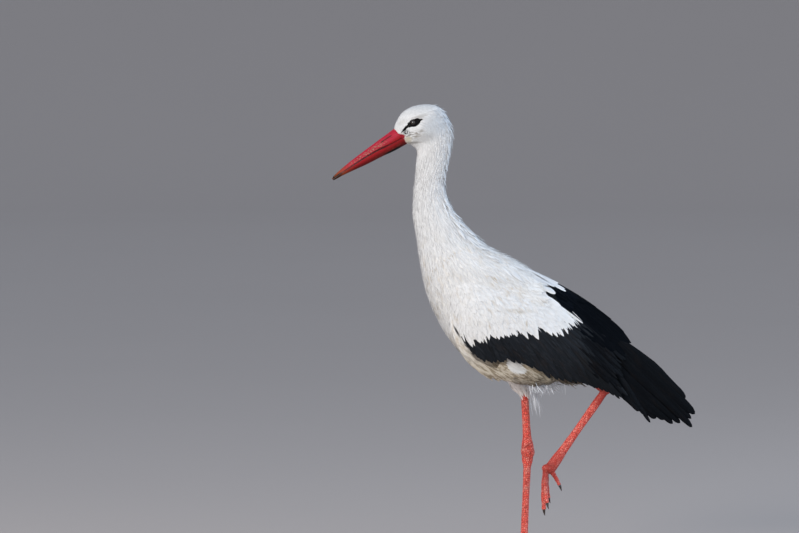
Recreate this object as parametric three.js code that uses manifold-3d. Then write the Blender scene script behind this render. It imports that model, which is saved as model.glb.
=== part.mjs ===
// A life-size white stork in mid-step: it stands on its right foot and swings its left foot forward.
// Millimetres, +Z up. The bill points along -X and the bird's left side lies towards -Y.
// The origin is on the floor, under the ball of the standing foot.

import * as THREE from "three";
import { LoftGeometry } from "three/addons/geometries/LoftGeometry.js";
import { mergeVertices } from "three/addons/utils/BufferGeometryUtils.js";
import Module from "manifold-3d";

const wasm = await Module();
wasm.setup();

// ---------- driving dimensions ----------

const joint = 0.4; // gap left wherever two pieces meet
const ringPoints = 18; // corners of one section through the body
const stepsPerRib = 2; // sections between two ribs of the body

// One rib is a section through head, neck or trunk, seen from the side.
// at: its centre [x, z]; lean: degrees its top tips towards the tail; deep: back to belly;
// wide: side to side; egg: how far its widest level lies above (+) or below (-) the middle.
const bodyRibs = [
  { name: "bill base", at: [-266, 900], lean: -40, deep: 44, wide: 34, egg: 0 },
  { name: "forehead", at: [-250, 916], lean: -16, deep: 75, wide: 50, egg: -0.1 },
  { name: "crown", at: [-227, 919], lean: 4, deep: 98, wide: 58, egg: 0.05 },
  { name: "hind crown", at: [-205, 908], lean: 25, deep: 117, wide: 60, egg: 0.15 },
  { name: "nape", at: [-194, 877], lean: 43, deep: 112, wide: 57, egg: 0.15 },
  { name: "upper neck", at: [-196, 839], lean: 53, deep: 94, wide: 53, egg: 0.05 },
  { name: "mid neck", at: [-204, 790], lean: 64, deep: 74, wide: 51, egg: 0 },
  { name: "lower neck", at: [-200, 745], lean: 73, deep: 81, wide: 57, egg: 0 },
  { name: "neck base", at: [-181, 699], lean: 74, deep: 105, wide: 76, egg: 0 },
  { name: "shoulder", at: [-150, 643], lean: 74, deep: 150, wide: 116, egg: 0 },
  { name: "breast", at: [-111, 588], lean: 63, deep: 203, wide: 150, egg: 0 },
  { name: "keel", at: [-57, 527], lean: 54, deep: 240, wide: 164, egg: -0.05 },
  { name: "belly", at: [8, 480], lean: 44, deep: 251, wide: 160, egg: -0.05 },
  { name: "loin", at: [72, 441], lean: 41, deep: 178, wide: 128, egg: 0 },
  { name: "vent", at: [140, 414], lean: 40, deep: 104, wide: 86, egg: 0 },
  { name: "rump", at: [205, 383], lean: 38, deep: 62, wide: 52, egg: 0 },
  { name: "tail base", at: [258, 352], lean: 35, deep: 22, wide: 40, egg: 0 },
];
const headEnd = 5; // the rib that ends the head
const neckMiddle = 7; // the rib that parts the upper neck from the lower
const neckEnd = 9; // the rib that ends the neck

const bill = { length: 172, slope: 32.5 }; // slope: degrees below level
// along: share of the bill's length from its base; lift: the section's middle above the bill's
// axis; mouth: height of the mouth in the section, from -1 (chin) to 1 (ridge).
const billRibs = [
  { along: 0, lean: -40, lift: 0, deep: 42, wide: 27, mouth: -0.25 },
  { along: 0.16, lean: -34, lift: 0, deep: 38.4, wide: 23, mouth: -0.15 },
  { along: 0.32, lean: -32.5, lift: 1, deep: 32.6, wide: 20, mouth: 0 },
  { along: 0.53, lean: -32.5, lift: 1.4, deep: 26.4, wide: 16, mouth: 0.1 },
  { along: 0.72, lean: -32.5, lift: 2.2, deep: 18.9, wide: 12, mouth: 0 },
  { along: 0.88, lean: -32.5, lift: 2, deep: 11.7, wide: 8, mouth: -0.15 },
  { along: 0.97, lean: -32.5, lift: 0.8, deep: 7.6, wide: 5, mouth: -0.2 },
  { along: 1, lean: -32.5, lift: 0, deep: 3.6, wide: 2.6, mouth: -0.2 },
];

const eye = { at: [-238, 930], radius: 7, out: 20.5 }; // out: its centre from the middle plane

// One station of a folded wing: top and bottom edges [x, z] with their distance out from the
// middle plane, the arch between them, and the thickness at its middle.
const wingRibs = [
  { top: [-158, 612], topOut: 46, bottom: [-163, 552], bottomOut: 54, arch: 8, thick: 4 },
  { top: [-128, 642], topOut: 34, bottom: [-152, 500], bottomOut: 66, arch: 26, thick: 22 },
  { top: [-84, 648], topOut: 22, bottom: [-125, 450], bottomOut: 78, arch: 42, thick: 30 },
  { top: [-30, 632], topOut: 14, bottom: [-79, 418], bottomOut: 84, arch: 48, thick: 30 },
  { top: [25, 608], topOut: 10, bottom: [-20, 408], bottomOut: 83, arch: 46, thick: 28 },
  { top: [82, 580], topOut: 7, bottom: [44, 393], bottomOut: 80, arch: 40, thick: 24 },
  { top: [130, 550], topOut: 5, bottom: [106, 374], bottomOut: 76, arch: 32, thick: 18 },
  { top: [176, 516], topOut: 4, bottom: [164, 361], bottomOut: 69, arch: 24, thick: 12 },
  { top: [212, 483], topOut: 3.5, bottom: [204, 343], bottomOut: 58, arch: 16, thick: 8 },
  { top: [232, 453], topOut: 3, bottom: [226, 333], bottomOut: 49, arch: 11, thick: 4 },
];
// The white coverts end along this saw-toothed line, from the bend of the wing up to the back.
const covertEdge = [
  [-162, 497], [-140, 478], [-114, 449], [-110, 462], [-84, 464], [-54, 468], [-27, 479],
  [4, 467], [30, 468], [42, 486], [62, 475], [82, 475], [96, 491], [100, 505], [122, 500],
  [78, 540], [56, 556], [66, 566], [88, 572], [92, 590],
];
// The tertials are parted from the secondaries along this line.
const tertialEdge = [[94, 517], [150, 486], [200, 462], [250, 440]];

// Long feathers that reach past the folded wing. Root and tip are [x, z] of the feather's
// middle, out is its distance from the middle plane at root and tip.
const primaries = [
  { root: [200, 459], tip: [370, 302], out: [30, 8], breadth: 42 },
  { root: [185, 446], tip: [363, 275], out: [38, 13], breadth: 38 },
  { root: [164, 422], tip: [337, 285], out: [44, 19], breadth: 40 },
  { root: [168, 402], tip: [318, 285], out: [48, 26], breadth: 38 },
  { root: [192, 388], tip: [270, 290], out: [49, 40], breadth: 20 },
];
const vane = { thickness: 4, overlap: -0.22 }; // overlap: sideways slope of a wing feather's width

const tail = {
  pairs: 2, // feathers on each side, the middle pair on top
  root: [200, 386],
  tip: [332, 312],
  spread: 9, // degrees the outermost feather points outwards
  stack: 2.2, // how far each pair lies below the last
  breadth: 30,
  thickness: 4,
};

// Places of the leg joints, as [x, y, z].
const standing = {
  name: "right",
  thighTop: [-24, 42, 452],
  thighEnd: [2, 17, 343],
  ankle: [9, 13, 219],
  ball: [0, 0, 11],
};
const swinging = {
  name: "left",
  thighTop: [-40, -52, 450],
  thighEnd: [88, -54, 397],
  ankle: [175, -45, 358],
  ball: [55, -46, 187],
};
// Radii of the bare leg. flat: its side-to-side share; sunk: how far it reaches into the
// feathered thigh; sole: share of a toe's radius that is flattened where it stands.
const shank = { shin: 8, tarsus: 7, knob: 14, ball: 9.5, flat: 0.82, sunk: 6, sole: 0.16 };

// yaw: degrees from straight ahead, + towards the bird's outer side; hang: degrees below level
// while the foot swings
const toes = [
  { name: "middle", yaw: 0, length: 86, radius: 7, hang: 80 },
  { name: "inner", yaw: -42, length: 66, radius: 6.4, hang: 88 },
  { name: "outer", yaw: 42, length: 74, radius: 6.4, hang: 84 },
  { name: "hind", yaw: 176, length: 40, radius: 5.6, hang: 52 },
];
const claw = { length: 11, radius: 3.2, bend: 12 };
const web = { reach: 0.3, thick: 3, height: 2 }; // reach: share of the toe's length it covers

// ---------- finishes ----------

const finish = (color, roughness) => new THREE.MeshStandardMaterial({ color, roughness });
const whitePlumage = finish(0xe9e7e1, 0.9);
const blackPlumage = finish(0x16171b, 0.55);
const redBill = finish(0xb5202c, 0.45);
const redSkin = finish(0xd8432f, 0.6);
const darkEye = finish(0x0b0a0c, 0.08);
const darkClaw = finish(0x3a2a24, 0.5);

// ---------- shaping tools ----------

const radians = THREE.MathUtils.degToRad;

// A smooth value at position t through evenly spaced values (uniform Catmull-Rom).
function through(values, t) {
  const last = values.length - 1;
  const i = Math.min(Math.max(Math.floor(t), 0), last - 1);
  const f = t - i;
  const b = values[i];
  const c = values[i + 1];
  const a = i > 0 ? values[i - 1] : 2 * b - c;
  const d = i + 2 <= last ? values[i + 2] : 2 * c - b;
  const bend = 2 * a - 5 * b + 4 * c - d;
  const twist = 3 * b - a - 3 * c + d;
  return 0.5 * (2 * b + (c - a) * f + bend * f * f + twist * f ** 3);
}

// A piecewise straight value at x through [x, value] pairs, eased at each pair.
function eased(pairs, x) {
  const next = pairs.findIndex((pair) => pair[0] >= x);
  if (next <= 0) return next === 0 ? pairs[0][1] : pairs.at(-1)[1];
  const [x0, y0] = pairs[next - 1];
  const [x1, y1] = pairs[next];
  return y0 + (y1 - y0) * THREE.MathUtils.smoothstep(x, x0, x1);
}

// A closed three.js geometry as a manifold solid, turned right side out.
function solidOf(geometry) {
  const bare = new THREE.BufferGeometry();
  bare.setAttribute("position", geometry.getAttribute("position"));
  bare.setIndex(geometry.index);
  const merged = mergeVertices(bare, 1e-3);
  const corners = merged.index.array;
  const kept = [];
  for (let i = 0; i < corners.length; i += 3) {
    const [a, b, c] = corners.slice(i, i + 3);
    if (a !== b && b !== c && c !== a) kept.push(a, b, c);
  }
  const build = (triVerts) =>
    new wasm.Manifold(
      new wasm.Mesh({
        numProp: 3,
        vertProperties: new Float32Array(merged.attributes.position.array),
        triVerts: new Uint32Array(triVerts),
      }),
    );
  const made = build(kept);
  return made.volume() > 0 ? made : build(kept.reverse());
}

// Twice the area vector of a closed section; it points to the side it looks anticlockwise from.
function facing(section) {
  return section.reduce(
    (sum, point, i) => sum.add(point.clone().cross(section[(i + 1) % section.length])),
    new THREE.Vector3(),
  );
}

// A solid through closed sections, which must all be seen anticlockwise from the far end.
function loft(sections) {
  const middle = Math.floor(sections.length / 2);
  const travel = sections[middle][0].clone().sub(sections[middle - 1][0]);
  const ordered = facing(sections[middle]).dot(travel) > 0;
  const rings = ordered ? sections : sections.map((section) => [...section].reverse());
  return solidOf(new LoftGeometry(rings, { capStart: true, capEnd: true }));
}

const joinAll = (solids) => solids.reduce((whole, next) => whole.add(next));
const cutAll = (solid, tools) => tools.reduce((rest, tool) => rest.subtract(tool), solid);
const biggest = (solid) => solid.decompose().sort((a, b) => b.volume() - a.volume())[0];

// The largest body of a solid as a named mesh, with its geometry set about a point of its own.
function meshOf(name, solid, material, at) {
  const { vertProperties, numProp, triVerts } = biggest(solid).getMesh();
  const corners = vertProperties.length / numProp;
  const positions = new Float32Array(corners * 3);
  for (let i = 0; i < corners; i++) {
    for (let axis = 0; axis < 3; axis++) {
      positions[i * 3 + axis] = vertProperties[i * numProp + axis] - at[axis];
    }
  }
  const geometry = new THREE.BufferGeometry();
  geometry.setAttribute("position", new THREE.BufferAttribute(positions, 3));
  geometry.setIndex(new THREE.BufferAttribute(new Uint32Array(triVerts), 1));
  geometry.computeVertexNormals();
  const mesh = new THREE.Mesh(geometry, material);
  mesh.name = name;
  mesh.position.set(...at);
  return mesh;
}

// ---------- head, neck and trunk ----------

// One closed section of the body at rib position t.
function bodySection(t, grow) {
  const pick = (read) => through(bodyRibs.map(read), t);
  const x = pick((rib) => rib.at[0]);
  const z = pick((rib) => rib.at[1]);
  const lean = radians(pick((rib) => rib.lean));
  const halfDeep = pick((rib) => rib.deep) / 2 + grow;
  const halfWide = pick((rib) => rib.wide) / 2 + grow;
  const egg = pick((rib) => rib.egg);
  return Array.from({ length: ringPoints }, (_, i) => {
    const angle = (i / ringPoints) * 2 * Math.PI;
    const up = Math.cos(angle) * halfDeep;
    const side = Math.sin(angle) * halfWide * (1 + egg * Math.cos(angle));
    return new THREE.Vector3(x + up * Math.sin(lean), side, z + up * Math.cos(lean));
  });
}

// The body between two rib positions, drawn in by a small gap at either end.
function bodyPiece(from, to, grow = 0) {
  const gap = 0.012; // in ribs, about the joint's width
  const start = from === 0 ? 0 : from + gap;
  const end = to === bodyRibs.length - 1 ? to : to - gap;
  const steps = Math.round((to - from) * stepsPerRib);
  const at = (i) => start + ((end - start) * i) / steps;
  return loft(Array.from({ length: steps + 1 }, (_, i) => bodySection(at(i), grow)));
}

function eyeball(side, grow = 0) {
  const ball = new THREE.SphereGeometry(eye.radius + grow, 12, 7);
  ball.rotateX(Math.PI / 2);
  ball.translate(eye.at[0], side * eye.out, eye.at[1]);
  return solidOf(ball);
}

// ---------- bill ----------

// A mandible is the part of each bill section above or below the mouth, closed by a flat.
function mandible(upper) {
  const steps = 9;
  const arcPoints = 10;
  const axis = radians(bill.slope);
  const [baseX, baseZ] = bodyRibs[0].at;
  const sections = Array.from({ length: steps + 1 }, (_, i) => {
    const t = (i / steps) * (billRibs.length - 1);
    const pick = (key) => through(billRibs.map((rib) => rib[key]), t);
    const reach = joint + pick("along") * bill.length;
    const x = baseX - reach * Math.cos(axis) - pick("lift") * Math.sin(axis);
    const z = baseZ - reach * Math.sin(axis) + pick("lift") * Math.cos(axis);
    const lean = radians(pick("lean"));
    const mouthAngle = Math.acos(pick("mouth"));
    return Array.from({ length: arcPoints }, (_, j) => {
      const share = j / (arcPoints - 1);
      const angle = upper
        ? mouthAngle * (2 * share - 1)
        : mouthAngle + share * 2 * (Math.PI - mouthAngle);
      const up = (Math.cos(angle) * pick("deep")) / 2 + ((upper ? 1 : -1) * joint) / 2;
      const side = (Math.sin(angle) * pick("wide")) / 2;
      return new THREE.Vector3(x + up * Math.sin(lean), side, z + up * Math.cos(lean));
    });
  });
  return loft(sections);
}

// ---------- wings ----------

// A point on a folded wing: t along its ribs, rise from its bottom edge (0) to its top (1).
function wingPoint(t, rise, side) {
  const pick = (read) => through(wingRibs.map(read), t);
  const mix = THREE.MathUtils.lerp;
  const x = mix(pick((rib) => rib.bottom[0]), pick((rib) => rib.top[0]), rise);
  const z = mix(pick((rib) => rib.bottom[1]), pick((rib) => rib.top[1]), rise);
  const flat = mix(pick((rib) => rib.bottomOut), pick((rib) => rib.topOut), rise);
  const out = flat + pick((rib) => rib.arch) * 4 * rise * (1 - rise);
  return new THREE.Vector3(x, side * out, z);
}

// A closed section of the wing: up its outer face and down its inner one.
function wingSection(t, side, grow) {
  const half = 6; // corners on each face
  const edge = 1.6; // least thickness, at the edges
  const thick = through(wingRibs.map((rib) => rib.thick), t);
  const backwards = new THREE.Vector3(0.8, 0, -0.6);
  const face = (share, sign) => {
    const rise = share + (share - 0.5) * grow * 0.02; // a swollen copy is taller too
    const across = wingPoint(t, rise + 0.01, side).sub(wingPoint(t, rise - 0.01, side));
    const outward = across.cross(backwards).normalize();
    if (outward.y * side < 0) outward.negate();
    const inward = thick * Math.sqrt(Math.max(0, 4 * share * (1 - share)));
    const depth = edge / 2 + grow + (sign < 0 ? inward : 0);
    return wingPoint(t, rise, side).addScaledVector(outward, sign * depth);
  };
  const outer = Array.from({ length: half }, (_, i) => face(i / (half - 1), 1));
  const inner = Array.from({ length: half }, (_, i) => face(1 - i / (half - 1), -1));
  return [...outer, ...inner];
}

function wingBlock(side, grow = 0) {
  const steps = 14;
  const spare = grow * 0.1; // a swollen copy is longer too
  const whole = wingRibs.length - 1 + 2 * spare;
  return loft(
    Array.from({ length: steps + 1 }, (_, i) => wingSection((i / steps) * whole - spare, side, grow)),
  );
}

// A thin wall that follows a line of [x, z] points and runs sideways through one wing.
function wallAlong(points, side) {
  const reach = 150;
  return joinAll(
    points.slice(1).map(([x, z], i) => {
      const [x0, z0] = points[i];
      const slab = new THREE.BoxGeometry(Math.hypot(x - x0, z - z0) + joint, reach, joint);
      slab.rotateY(-Math.atan2(z - z0, x - x0));
      slab.translate((x + x0) / 2, (side * reach) / 2, (z + z0) / 2);
      return solidOf(slab);
    }),
  );
}

// A long feather as a flat blade from root to tip, rounded at its end. across: the way its
// width runs.
function blade({ root, tip, breadth, thickness, across }) {
  const start = new THREE.Vector3(...root);
  const end = new THREE.Vector3(...tip);
  const run = end.clone().sub(start).normalize();
  const thin = new THREE.Vector3(...across).cross(run).normalize();
  const wide = run.clone().cross(thin).normalize();
  const widths = [[0, 0.7], [0.3, 1], [0.72, 1], [0.9, 0.74], [1, 0.14]];
  const corners = [[1, 0.3], [0, 1], [-1, 0.3], [-1, -0.3], [0, -1], [1, -0.3]];
  return loft(
    [0, 0.35, 0.75, 0.88, 0.96, 1].map((share) => {
      const centre = start.clone().lerp(end, share);
      const halfWide = (breadth / 2) * eased(widths, share);
      return corners.map(([w, h]) =>
        centre.clone().addScaledVector(wide, w * halfWide).addScaledVector(thin, (h * thickness) / 2),
      );
    }),
  );
}

function primaryFan(side, grow = 0) {
  return joinAll(
    primaries.map(({ root, tip, out, breadth }) =>
      blade({
        root: [root[0], side * out[0], root[1]],
        tip: [tip[0], side * out[1], tip[1]],
        breadth: breadth + 2 * grow,
        thickness: vane.thickness + 2 * grow,
        across: [0, side * vane.overlap, 1],
      }),
    ),
  );
}

function tailFan() {
  const [rootX, rootZ] = tail.root;
  const reach = Math.hypot(tail.tip[0] - rootX, tail.tip[1] - rootZ);
  const slope = Math.atan2(tail.tip[1] - rootZ, tail.tip[0] - rootX);
  const feathers = [];
  for (let pair = 0; pair < tail.pairs; pair++) {
    const share = pair / (tail.pairs - 1);
    const turn = radians(tail.spread * share);
    const length = reach * (1 - 0.06 * share);
    const drop = tail.stack * pair;
    for (const side of [-1, 1]) {
      const out = side * (6 + 4 * share);
      feathers.push(
        blade({
          root: [rootX, out, rootZ - drop],
          tip: [
            rootX + length * Math.cos(slope) * Math.cos(turn),
            out + side * length * Math.sin(turn),
            rootZ + length * Math.sin(slope) - drop,
          ],
          breadth: tail.breadth,
          thickness: tail.thickness,
          across: [0, 1, 0],
        }),
      );
    }
  }
  return joinAll(feathers);
}

// ---------- legs ----------

// A limb along a bone: rings that face along it, with a radius for each share of its length.
// flat: side-to-side share of the radius; shift: how far the middle is moved along +X.
function limb(from, to, radii, { flat = 1, steps = 9, points = 8, shift = [[0, 0], [1, 0]] } = {}) {
  const start = new THREE.Vector3(...from);
  const end = new THREE.Vector3(...to);
  const run = end.clone().sub(start).normalize();
  const fore = new THREE.Vector3(0, 1, 0).cross(run).normalize();
  const lateral = run.clone().cross(fore).normalize();
  return loft(
    Array.from({ length: steps + 1 }, (_, i) => {
      const share = i / steps;
      const radius = eased(radii, share);
      const centre = start.clone().lerp(end, share).addScaledVector(fore, eased(shift, share));
      return Array.from({ length: points }, (_, j) => {
        const angle = (j / points) * 2 * Math.PI;
        return centre
          .clone()
          .addScaledVector(fore, radius * Math.cos(angle))
          .addScaledVector(lateral, radius * flat * Math.sin(angle));
      });
    }),
  );
}

const between = (a, b, share) => a.map((value, i) => value + (b[i] - value) * share);

// The point that lies a given distance from a on the way to b.
const along = (a, b, distance) =>
  between(a, b, distance / Math.hypot(b[0] - a[0], b[1] - a[1], b[2] - a[2]));

function thigh(leg) {
  const radii =
    leg === standing
      ? [[0, 56], [0.45, 44], [0.75, 22], [1, 10.5]]
      : [[0, 66], [0.35, 64], [0.6, 56], [0.8, 42], [0.93, 26], [1, 11]];
  const lean = leg === standing ? [[0, 0], [0.5, 6], [0.85, 4], [1, 0]] : [[0, 0], [1, 0]];
  return limb(leg.thighTop, leg.thighEnd, radii, { flat: 0.6, steps: 7, points: 12, shift: lean });
}

// A rounded joint, narrower from side to side.
function knuckle(at, radius) {
  const ball = new THREE.SphereGeometry(radius, 8, 6);
  ball.scale(1, shank.flat, 1);
  ball.translate(...at);
  return solidOf(ball);
}

// The bare part of the shin and the ankle joint. Its top sits in the feathered thigh.
function shin(leg, grow = 0) {
  const top = along(leg.thighEnd, leg.ankle, -shank.sunk - grow);
  const radii = [[0, shank.shin], [0.7, shank.shin + 0.5], [0.92, shank.knob - 1], [1, shank.knob - 1]];
  const swollen = radii.map(([share, radius]) => [share, radius + grow]);
  const bone = limb(top, leg.ankle, swollen, { flat: shank.flat, steps: 6 });
  return bone.add(knuckle(leg.ankle, shank.knob + grow));
}

// The long lower leg, cupped around the ankle joint above and the toe joint below.
function tarsus(leg) {
  const cup = shank.knob;
  const radii = [[0, cup - 1], [0.1, cup - 2], [0.2, shank.tarsus], [0.9, shank.tarsus], [1, shank.ball]];
  const bone = limb(leg.ankle, leg.ball, radii, { flat: shank.flat, steps: 10 });
  const rooms = [shin(leg, joint), knuckle(leg.ball, shank.ball + 1.5 + joint)];
  return cutAll(bone, rooms);
}

// A row of points that sets out along a heading and bends about a sideways axis.
function bentLine(from, heading, sideways, length, bend, steps) {
  const line = [from.clone()];
  for (let i = 0; i < steps; i++) {
    const way = heading.clone().applyAxisAngle(sideways, radians(bend) * (i / steps));
    line.push(line[i].clone().addScaledVector(way, length / steps));
  }
  return line;
}

// A round rod along a row of points.
function rod(line, radiusAt, sideways, points) {
  const last = line.length - 1;
  return loft(
    line.map((centre, i) => {
      const run = line[Math.min(i + 1, last)].clone().sub(line[Math.max(i - 1, 0)]);
      const up = sideways.clone().cross(run).normalize();
      return Array.from({ length: points }, (_, j) => {
        const angle = ((j + 0.5) / points) * 2 * Math.PI;
        return centre
          .clone()
          .addScaledVector(up, radiusAt(i / last) * Math.cos(angle))
          .addScaledVector(sideways, radiusAt(i / last) * Math.sin(angle));
      });
    }),
  );
}

// A toe and its claw. The standing foot's toes lie flat and spread; the swinging foot's hang
// half closed.
function toeAndClaw(leg, toe) {
  const hanging = leg === swinging;
  const isHind = toe.name === "hind";
  const outer = leg === standing ? 1 : -1;
  const yaw = radians(hanging && !isHind ? toe.yaw * 0.45 : toe.yaw);
  const dip = radians(hanging ? toe.hang : 0);
  const ahead = -Math.cos(yaw);
  const heading = new THREE.Vector3(
    ahead * Math.cos(dip),
    outer * Math.sin(yaw),
    -Math.abs(ahead) * Math.sin(dip),
  );
  const sideways = new THREE.Vector3(0, -Math.sign(ahead), 0).projectOnPlane(heading).normalize();
  const steps = 6;
  const plump = (share) => toe.radius * (1 - 0.36 * share) * (1 + 0.06 * Math.cos(share * 6 * Math.PI));
  const curl = hanging ? -14 : 0;
  const line = bentLine(new THREE.Vector3(...leg.ball), heading, sideways, toe.length, curl, steps);
  if (!hanging) line.forEach((point, i) => point.setZ(plump(i / steps) * (1 - shank.sole)));
  const tip = line.at(-1);
  const way = tip.clone().sub(line.at(-2)).normalize();
  const quick = tip.clone().addScaledVector(way, joint);
  const clawLine = bentLine(quick, way, sideways, claw.length, -claw.bend, 3);
  const clawRadius = (share) => claw.radius * (1 - 0.75 * share);
  return {
    toeSolid: rod(line, plump, sideways, 6),
    clawSolid: rod(clawLine, clawRadius, sideways, 6),
  };
}

// Small webs between the bases of the three front toes.
function webs(leg) {
  const front = toes.filter((toe) => toe.name !== "hind").sort((a, b) => a.yaw - b.yaw);
  const corner = (toe) => {
    const yaw = radians(toe.yaw);
    return new THREE.Vector2(-Math.cos(yaw), Math.sin(yaw)).multiplyScalar(toe.length * web.reach);
  };
  return front.slice(1).map((toe, i) => {
    const a = corner(front[i]);
    const b = corner(toe);
    const notch = a.clone().add(b).multiplyScalar(0.36);
    const outline = new THREE.Shape().lineTo(a.x, a.y).quadraticCurveTo(notch.x, notch.y, b.x, b.y);
    const options = { depth: web.thick, bevelEnabled: false, curveSegments: 4 };
    const sheet = new THREE.ExtrudeGeometry(outline, options);
    sheet.translate(leg.ball[0], leg.ball[1], web.height);
    return solidOf(sheet);
  });
}

// ---------- putting the bird together ----------

const stork = new THREE.Group();
stork.name = "white_stork";

const lastRib = bodyRibs.length - 1;
const ribCentre = (rib) => [bodyRibs[rib].at[0], 0, bodyRibs[rib].at[1]];

// Everything that meets the body is cut back from a slightly swollen copy of it.
const bodyRoom = bodyPiece(0, lastRib, joint);

function makeHead() {
  const head = new THREE.Group();
  const skull = cutAll(bodyPiece(0, headEnd), [eyeball(-1, joint), eyeball(1, joint)]);
  head.add(meshOf("head", skull, whitePlumage, ribCentre(headEnd)));
  head.add(meshOf("bill_upper", mandible(true), redBill, ribCentre(0)));
  head.add(meshOf("bill_lower", mandible(false), redBill, ribCentre(0)));
  for (const [side, name] of sides) {
    const centre = [eye.at[0], side * eye.out, eye.at[1]];
    head.add(meshOf(`eye_${name}`, eyeball(side), darkEye, centre));
  }
  return head;
}

function makeWing(side, name) {
  const wing = new THREE.Group();
  const shoulder = [wingRibs[0].top[0], side * wingRibs[0].topOut, wingRibs[0].top[1]];
  const walls = [wallAlong(covertEdge, side), wallAlong(tertialEdge, side)];
  const parted = cutAll(biggest(wingBlock(side).subtract(bodyRoom)), walls);
  const [secondaries, coverts, tertials] = parted.decompose().sort((a, b) => b.volume() - a.volume());
  const longFeathers = cutAll(primaryFan(side), [wingBlock(side, joint), bodyRoom]);
  wing.add(meshOf(`wing_${name}_coverts`, coverts, whitePlumage, shoulder));
  wing.add(meshOf(`wing_${name}_secondaries`, secondaries, blackPlumage, shoulder));
  wing.add(meshOf(`wing_${name}_tertials`, tertials, blackPlumage, shoulder));
  wing.add(meshOf(`wing_${name}_primaries`, longFeathers, blackPlumage, shoulder));
  return wing;
}

function makeLeg(leg, rooms) {
  const group = new THREE.Group();
  const toeJoint = knuckle(leg.ball, shank.ball + 1.5);
  const made = toes.map((toe) => ({ toe, ...toeAndClaw(leg, toe) }));
  const skinFlaps = leg === standing ? webs(leg) : [];
  const sole = joinAll([toeJoint, ...made.map(({ toeSolid }) => toeSolid), ...skinFlaps]);
  const feathered = cutAll(thigh(leg), [...rooms, shin(leg, joint)]);
  group.add(meshOf(`thigh_${leg.name}`, feathered, whitePlumage, leg.thighTop));
  group.add(meshOf(`shin_${leg.name}`, shin(leg), redSkin, leg.thighEnd));
  group.add(meshOf(`tarsus_${leg.name}`, tarsus(leg), redSkin, leg.ankle));
  group.add(meshOf(`foot_${leg.name}`, sole.trimByPlane([0, 0, 1], 0), redSkin, leg.ball));
  for (const { toe, clawSolid } of made) {
    group.add(meshOf(`claw_${leg.name}_${toe.name}`, clawSolid, darkClaw, leg.ball));
  }
  return group;
}

const sides = [[-1, "left"], [1, "right"]];
const wingRooms = sides.flatMap(([side]) => [wingBlock(side, joint), primaryFan(side, joint)]);

stork.add(makeHead());
stork.add(meshOf("neck_upper", bodyPiece(headEnd, neckMiddle), whitePlumage, ribCentre(neckMiddle)));
stork.add(meshOf("neck_lower", bodyPiece(neckMiddle, neckEnd), whitePlumage, ribCentre(neckEnd)));
stork.add(meshOf("trunk", bodyPiece(neckEnd, lastRib), whitePlumage, ribCentre(neckEnd)));
for (const [side, name] of sides) stork.add(makeWing(side, name));
const rectrices = cutAll(tailFan(), [bodyRoom, ...wingRooms]);
stork.add(meshOf("tail", rectrices, whitePlumage, [tail.root[0], 0, tail.root[1]]));
for (const leg of [swinging, standing]) stork.add(makeLeg(leg, [bodyRoom, ...wingRooms]));

export default stork;
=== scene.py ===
# A white stork in mid-step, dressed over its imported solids.
# Metres, +Z up. The bill points along -X and the bird's left side lies towards -Y.
import math

import bpy
import numpy as np
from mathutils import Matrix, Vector
from mathutils.bvhtree import BVHTree


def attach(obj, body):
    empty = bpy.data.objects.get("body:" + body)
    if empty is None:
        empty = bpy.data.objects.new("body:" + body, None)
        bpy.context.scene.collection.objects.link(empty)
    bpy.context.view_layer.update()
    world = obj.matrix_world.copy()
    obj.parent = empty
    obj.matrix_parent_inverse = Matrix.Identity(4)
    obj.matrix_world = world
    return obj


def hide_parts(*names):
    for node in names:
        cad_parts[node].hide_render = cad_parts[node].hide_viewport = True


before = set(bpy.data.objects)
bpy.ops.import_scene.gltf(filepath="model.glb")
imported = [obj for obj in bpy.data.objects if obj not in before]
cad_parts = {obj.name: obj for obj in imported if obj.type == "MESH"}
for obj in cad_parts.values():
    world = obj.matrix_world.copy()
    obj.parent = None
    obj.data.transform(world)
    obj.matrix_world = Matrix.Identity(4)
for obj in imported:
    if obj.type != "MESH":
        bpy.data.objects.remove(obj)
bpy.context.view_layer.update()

chance = np.random.default_rng(11)
mm = 0.001

view = {"middle": (-0.2677, 0, 0.6203), "width": 1.718, "away": 12.0, "height": 2.5, "sensor": 36.0}
studio = {
    "floor": (0.42, 0.372, 0.345),
    "flat": 22.0,  # radius of the level floor
    "rim": 34.0,  # radius of the raised rim
    "rise": 15.0,
    "sky": (0.74, 0.84, 1.0),
    "skyStrength": 0.70,
}
# place, aim, size, power and colour of each soft light
lamps = {
    "key": ((-3.8, -5.2, 2.7), (0, 0, 0.55), 3.0, 300, (1.0, 0.955, 0.90)),
    "fill": ((3.2, -5.4, 0.9), (0, 0, 0.5), 3.6, 55, (0.93, 0.96, 1.0)),
    "back": ((5.2, 0.2, 1.8), (0, 0, 0.6), 3.0, 150, (0.60, 0.78, 1.0)),
}


def addAimed(name, data, place, aim):
    thing = bpy.data.objects.new(name, data)
    thing.location = place
    thing.rotation_euler = (Vector(aim) - Vector(place)).to_track_quat("-Z", "Y").to_euler()
    bpy.context.scene.collection.objects.link(thing)
    return thing


def makeCamera():
    tilt, middle = math.radians(view["height"]), Vector(view["middle"])
    data = bpy.data.cameras.new("camera")
    data.sensor_width = view["sensor"]
    data.lens = view["sensor"] * view["away"] / view["width"]
    data.clip_end = 200
    back = Vector((0, -math.cos(tilt), math.sin(tilt)))
    bpy.context.scene.camera = addAimed("camera", data, middle + back * view["away"], middle)


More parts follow.
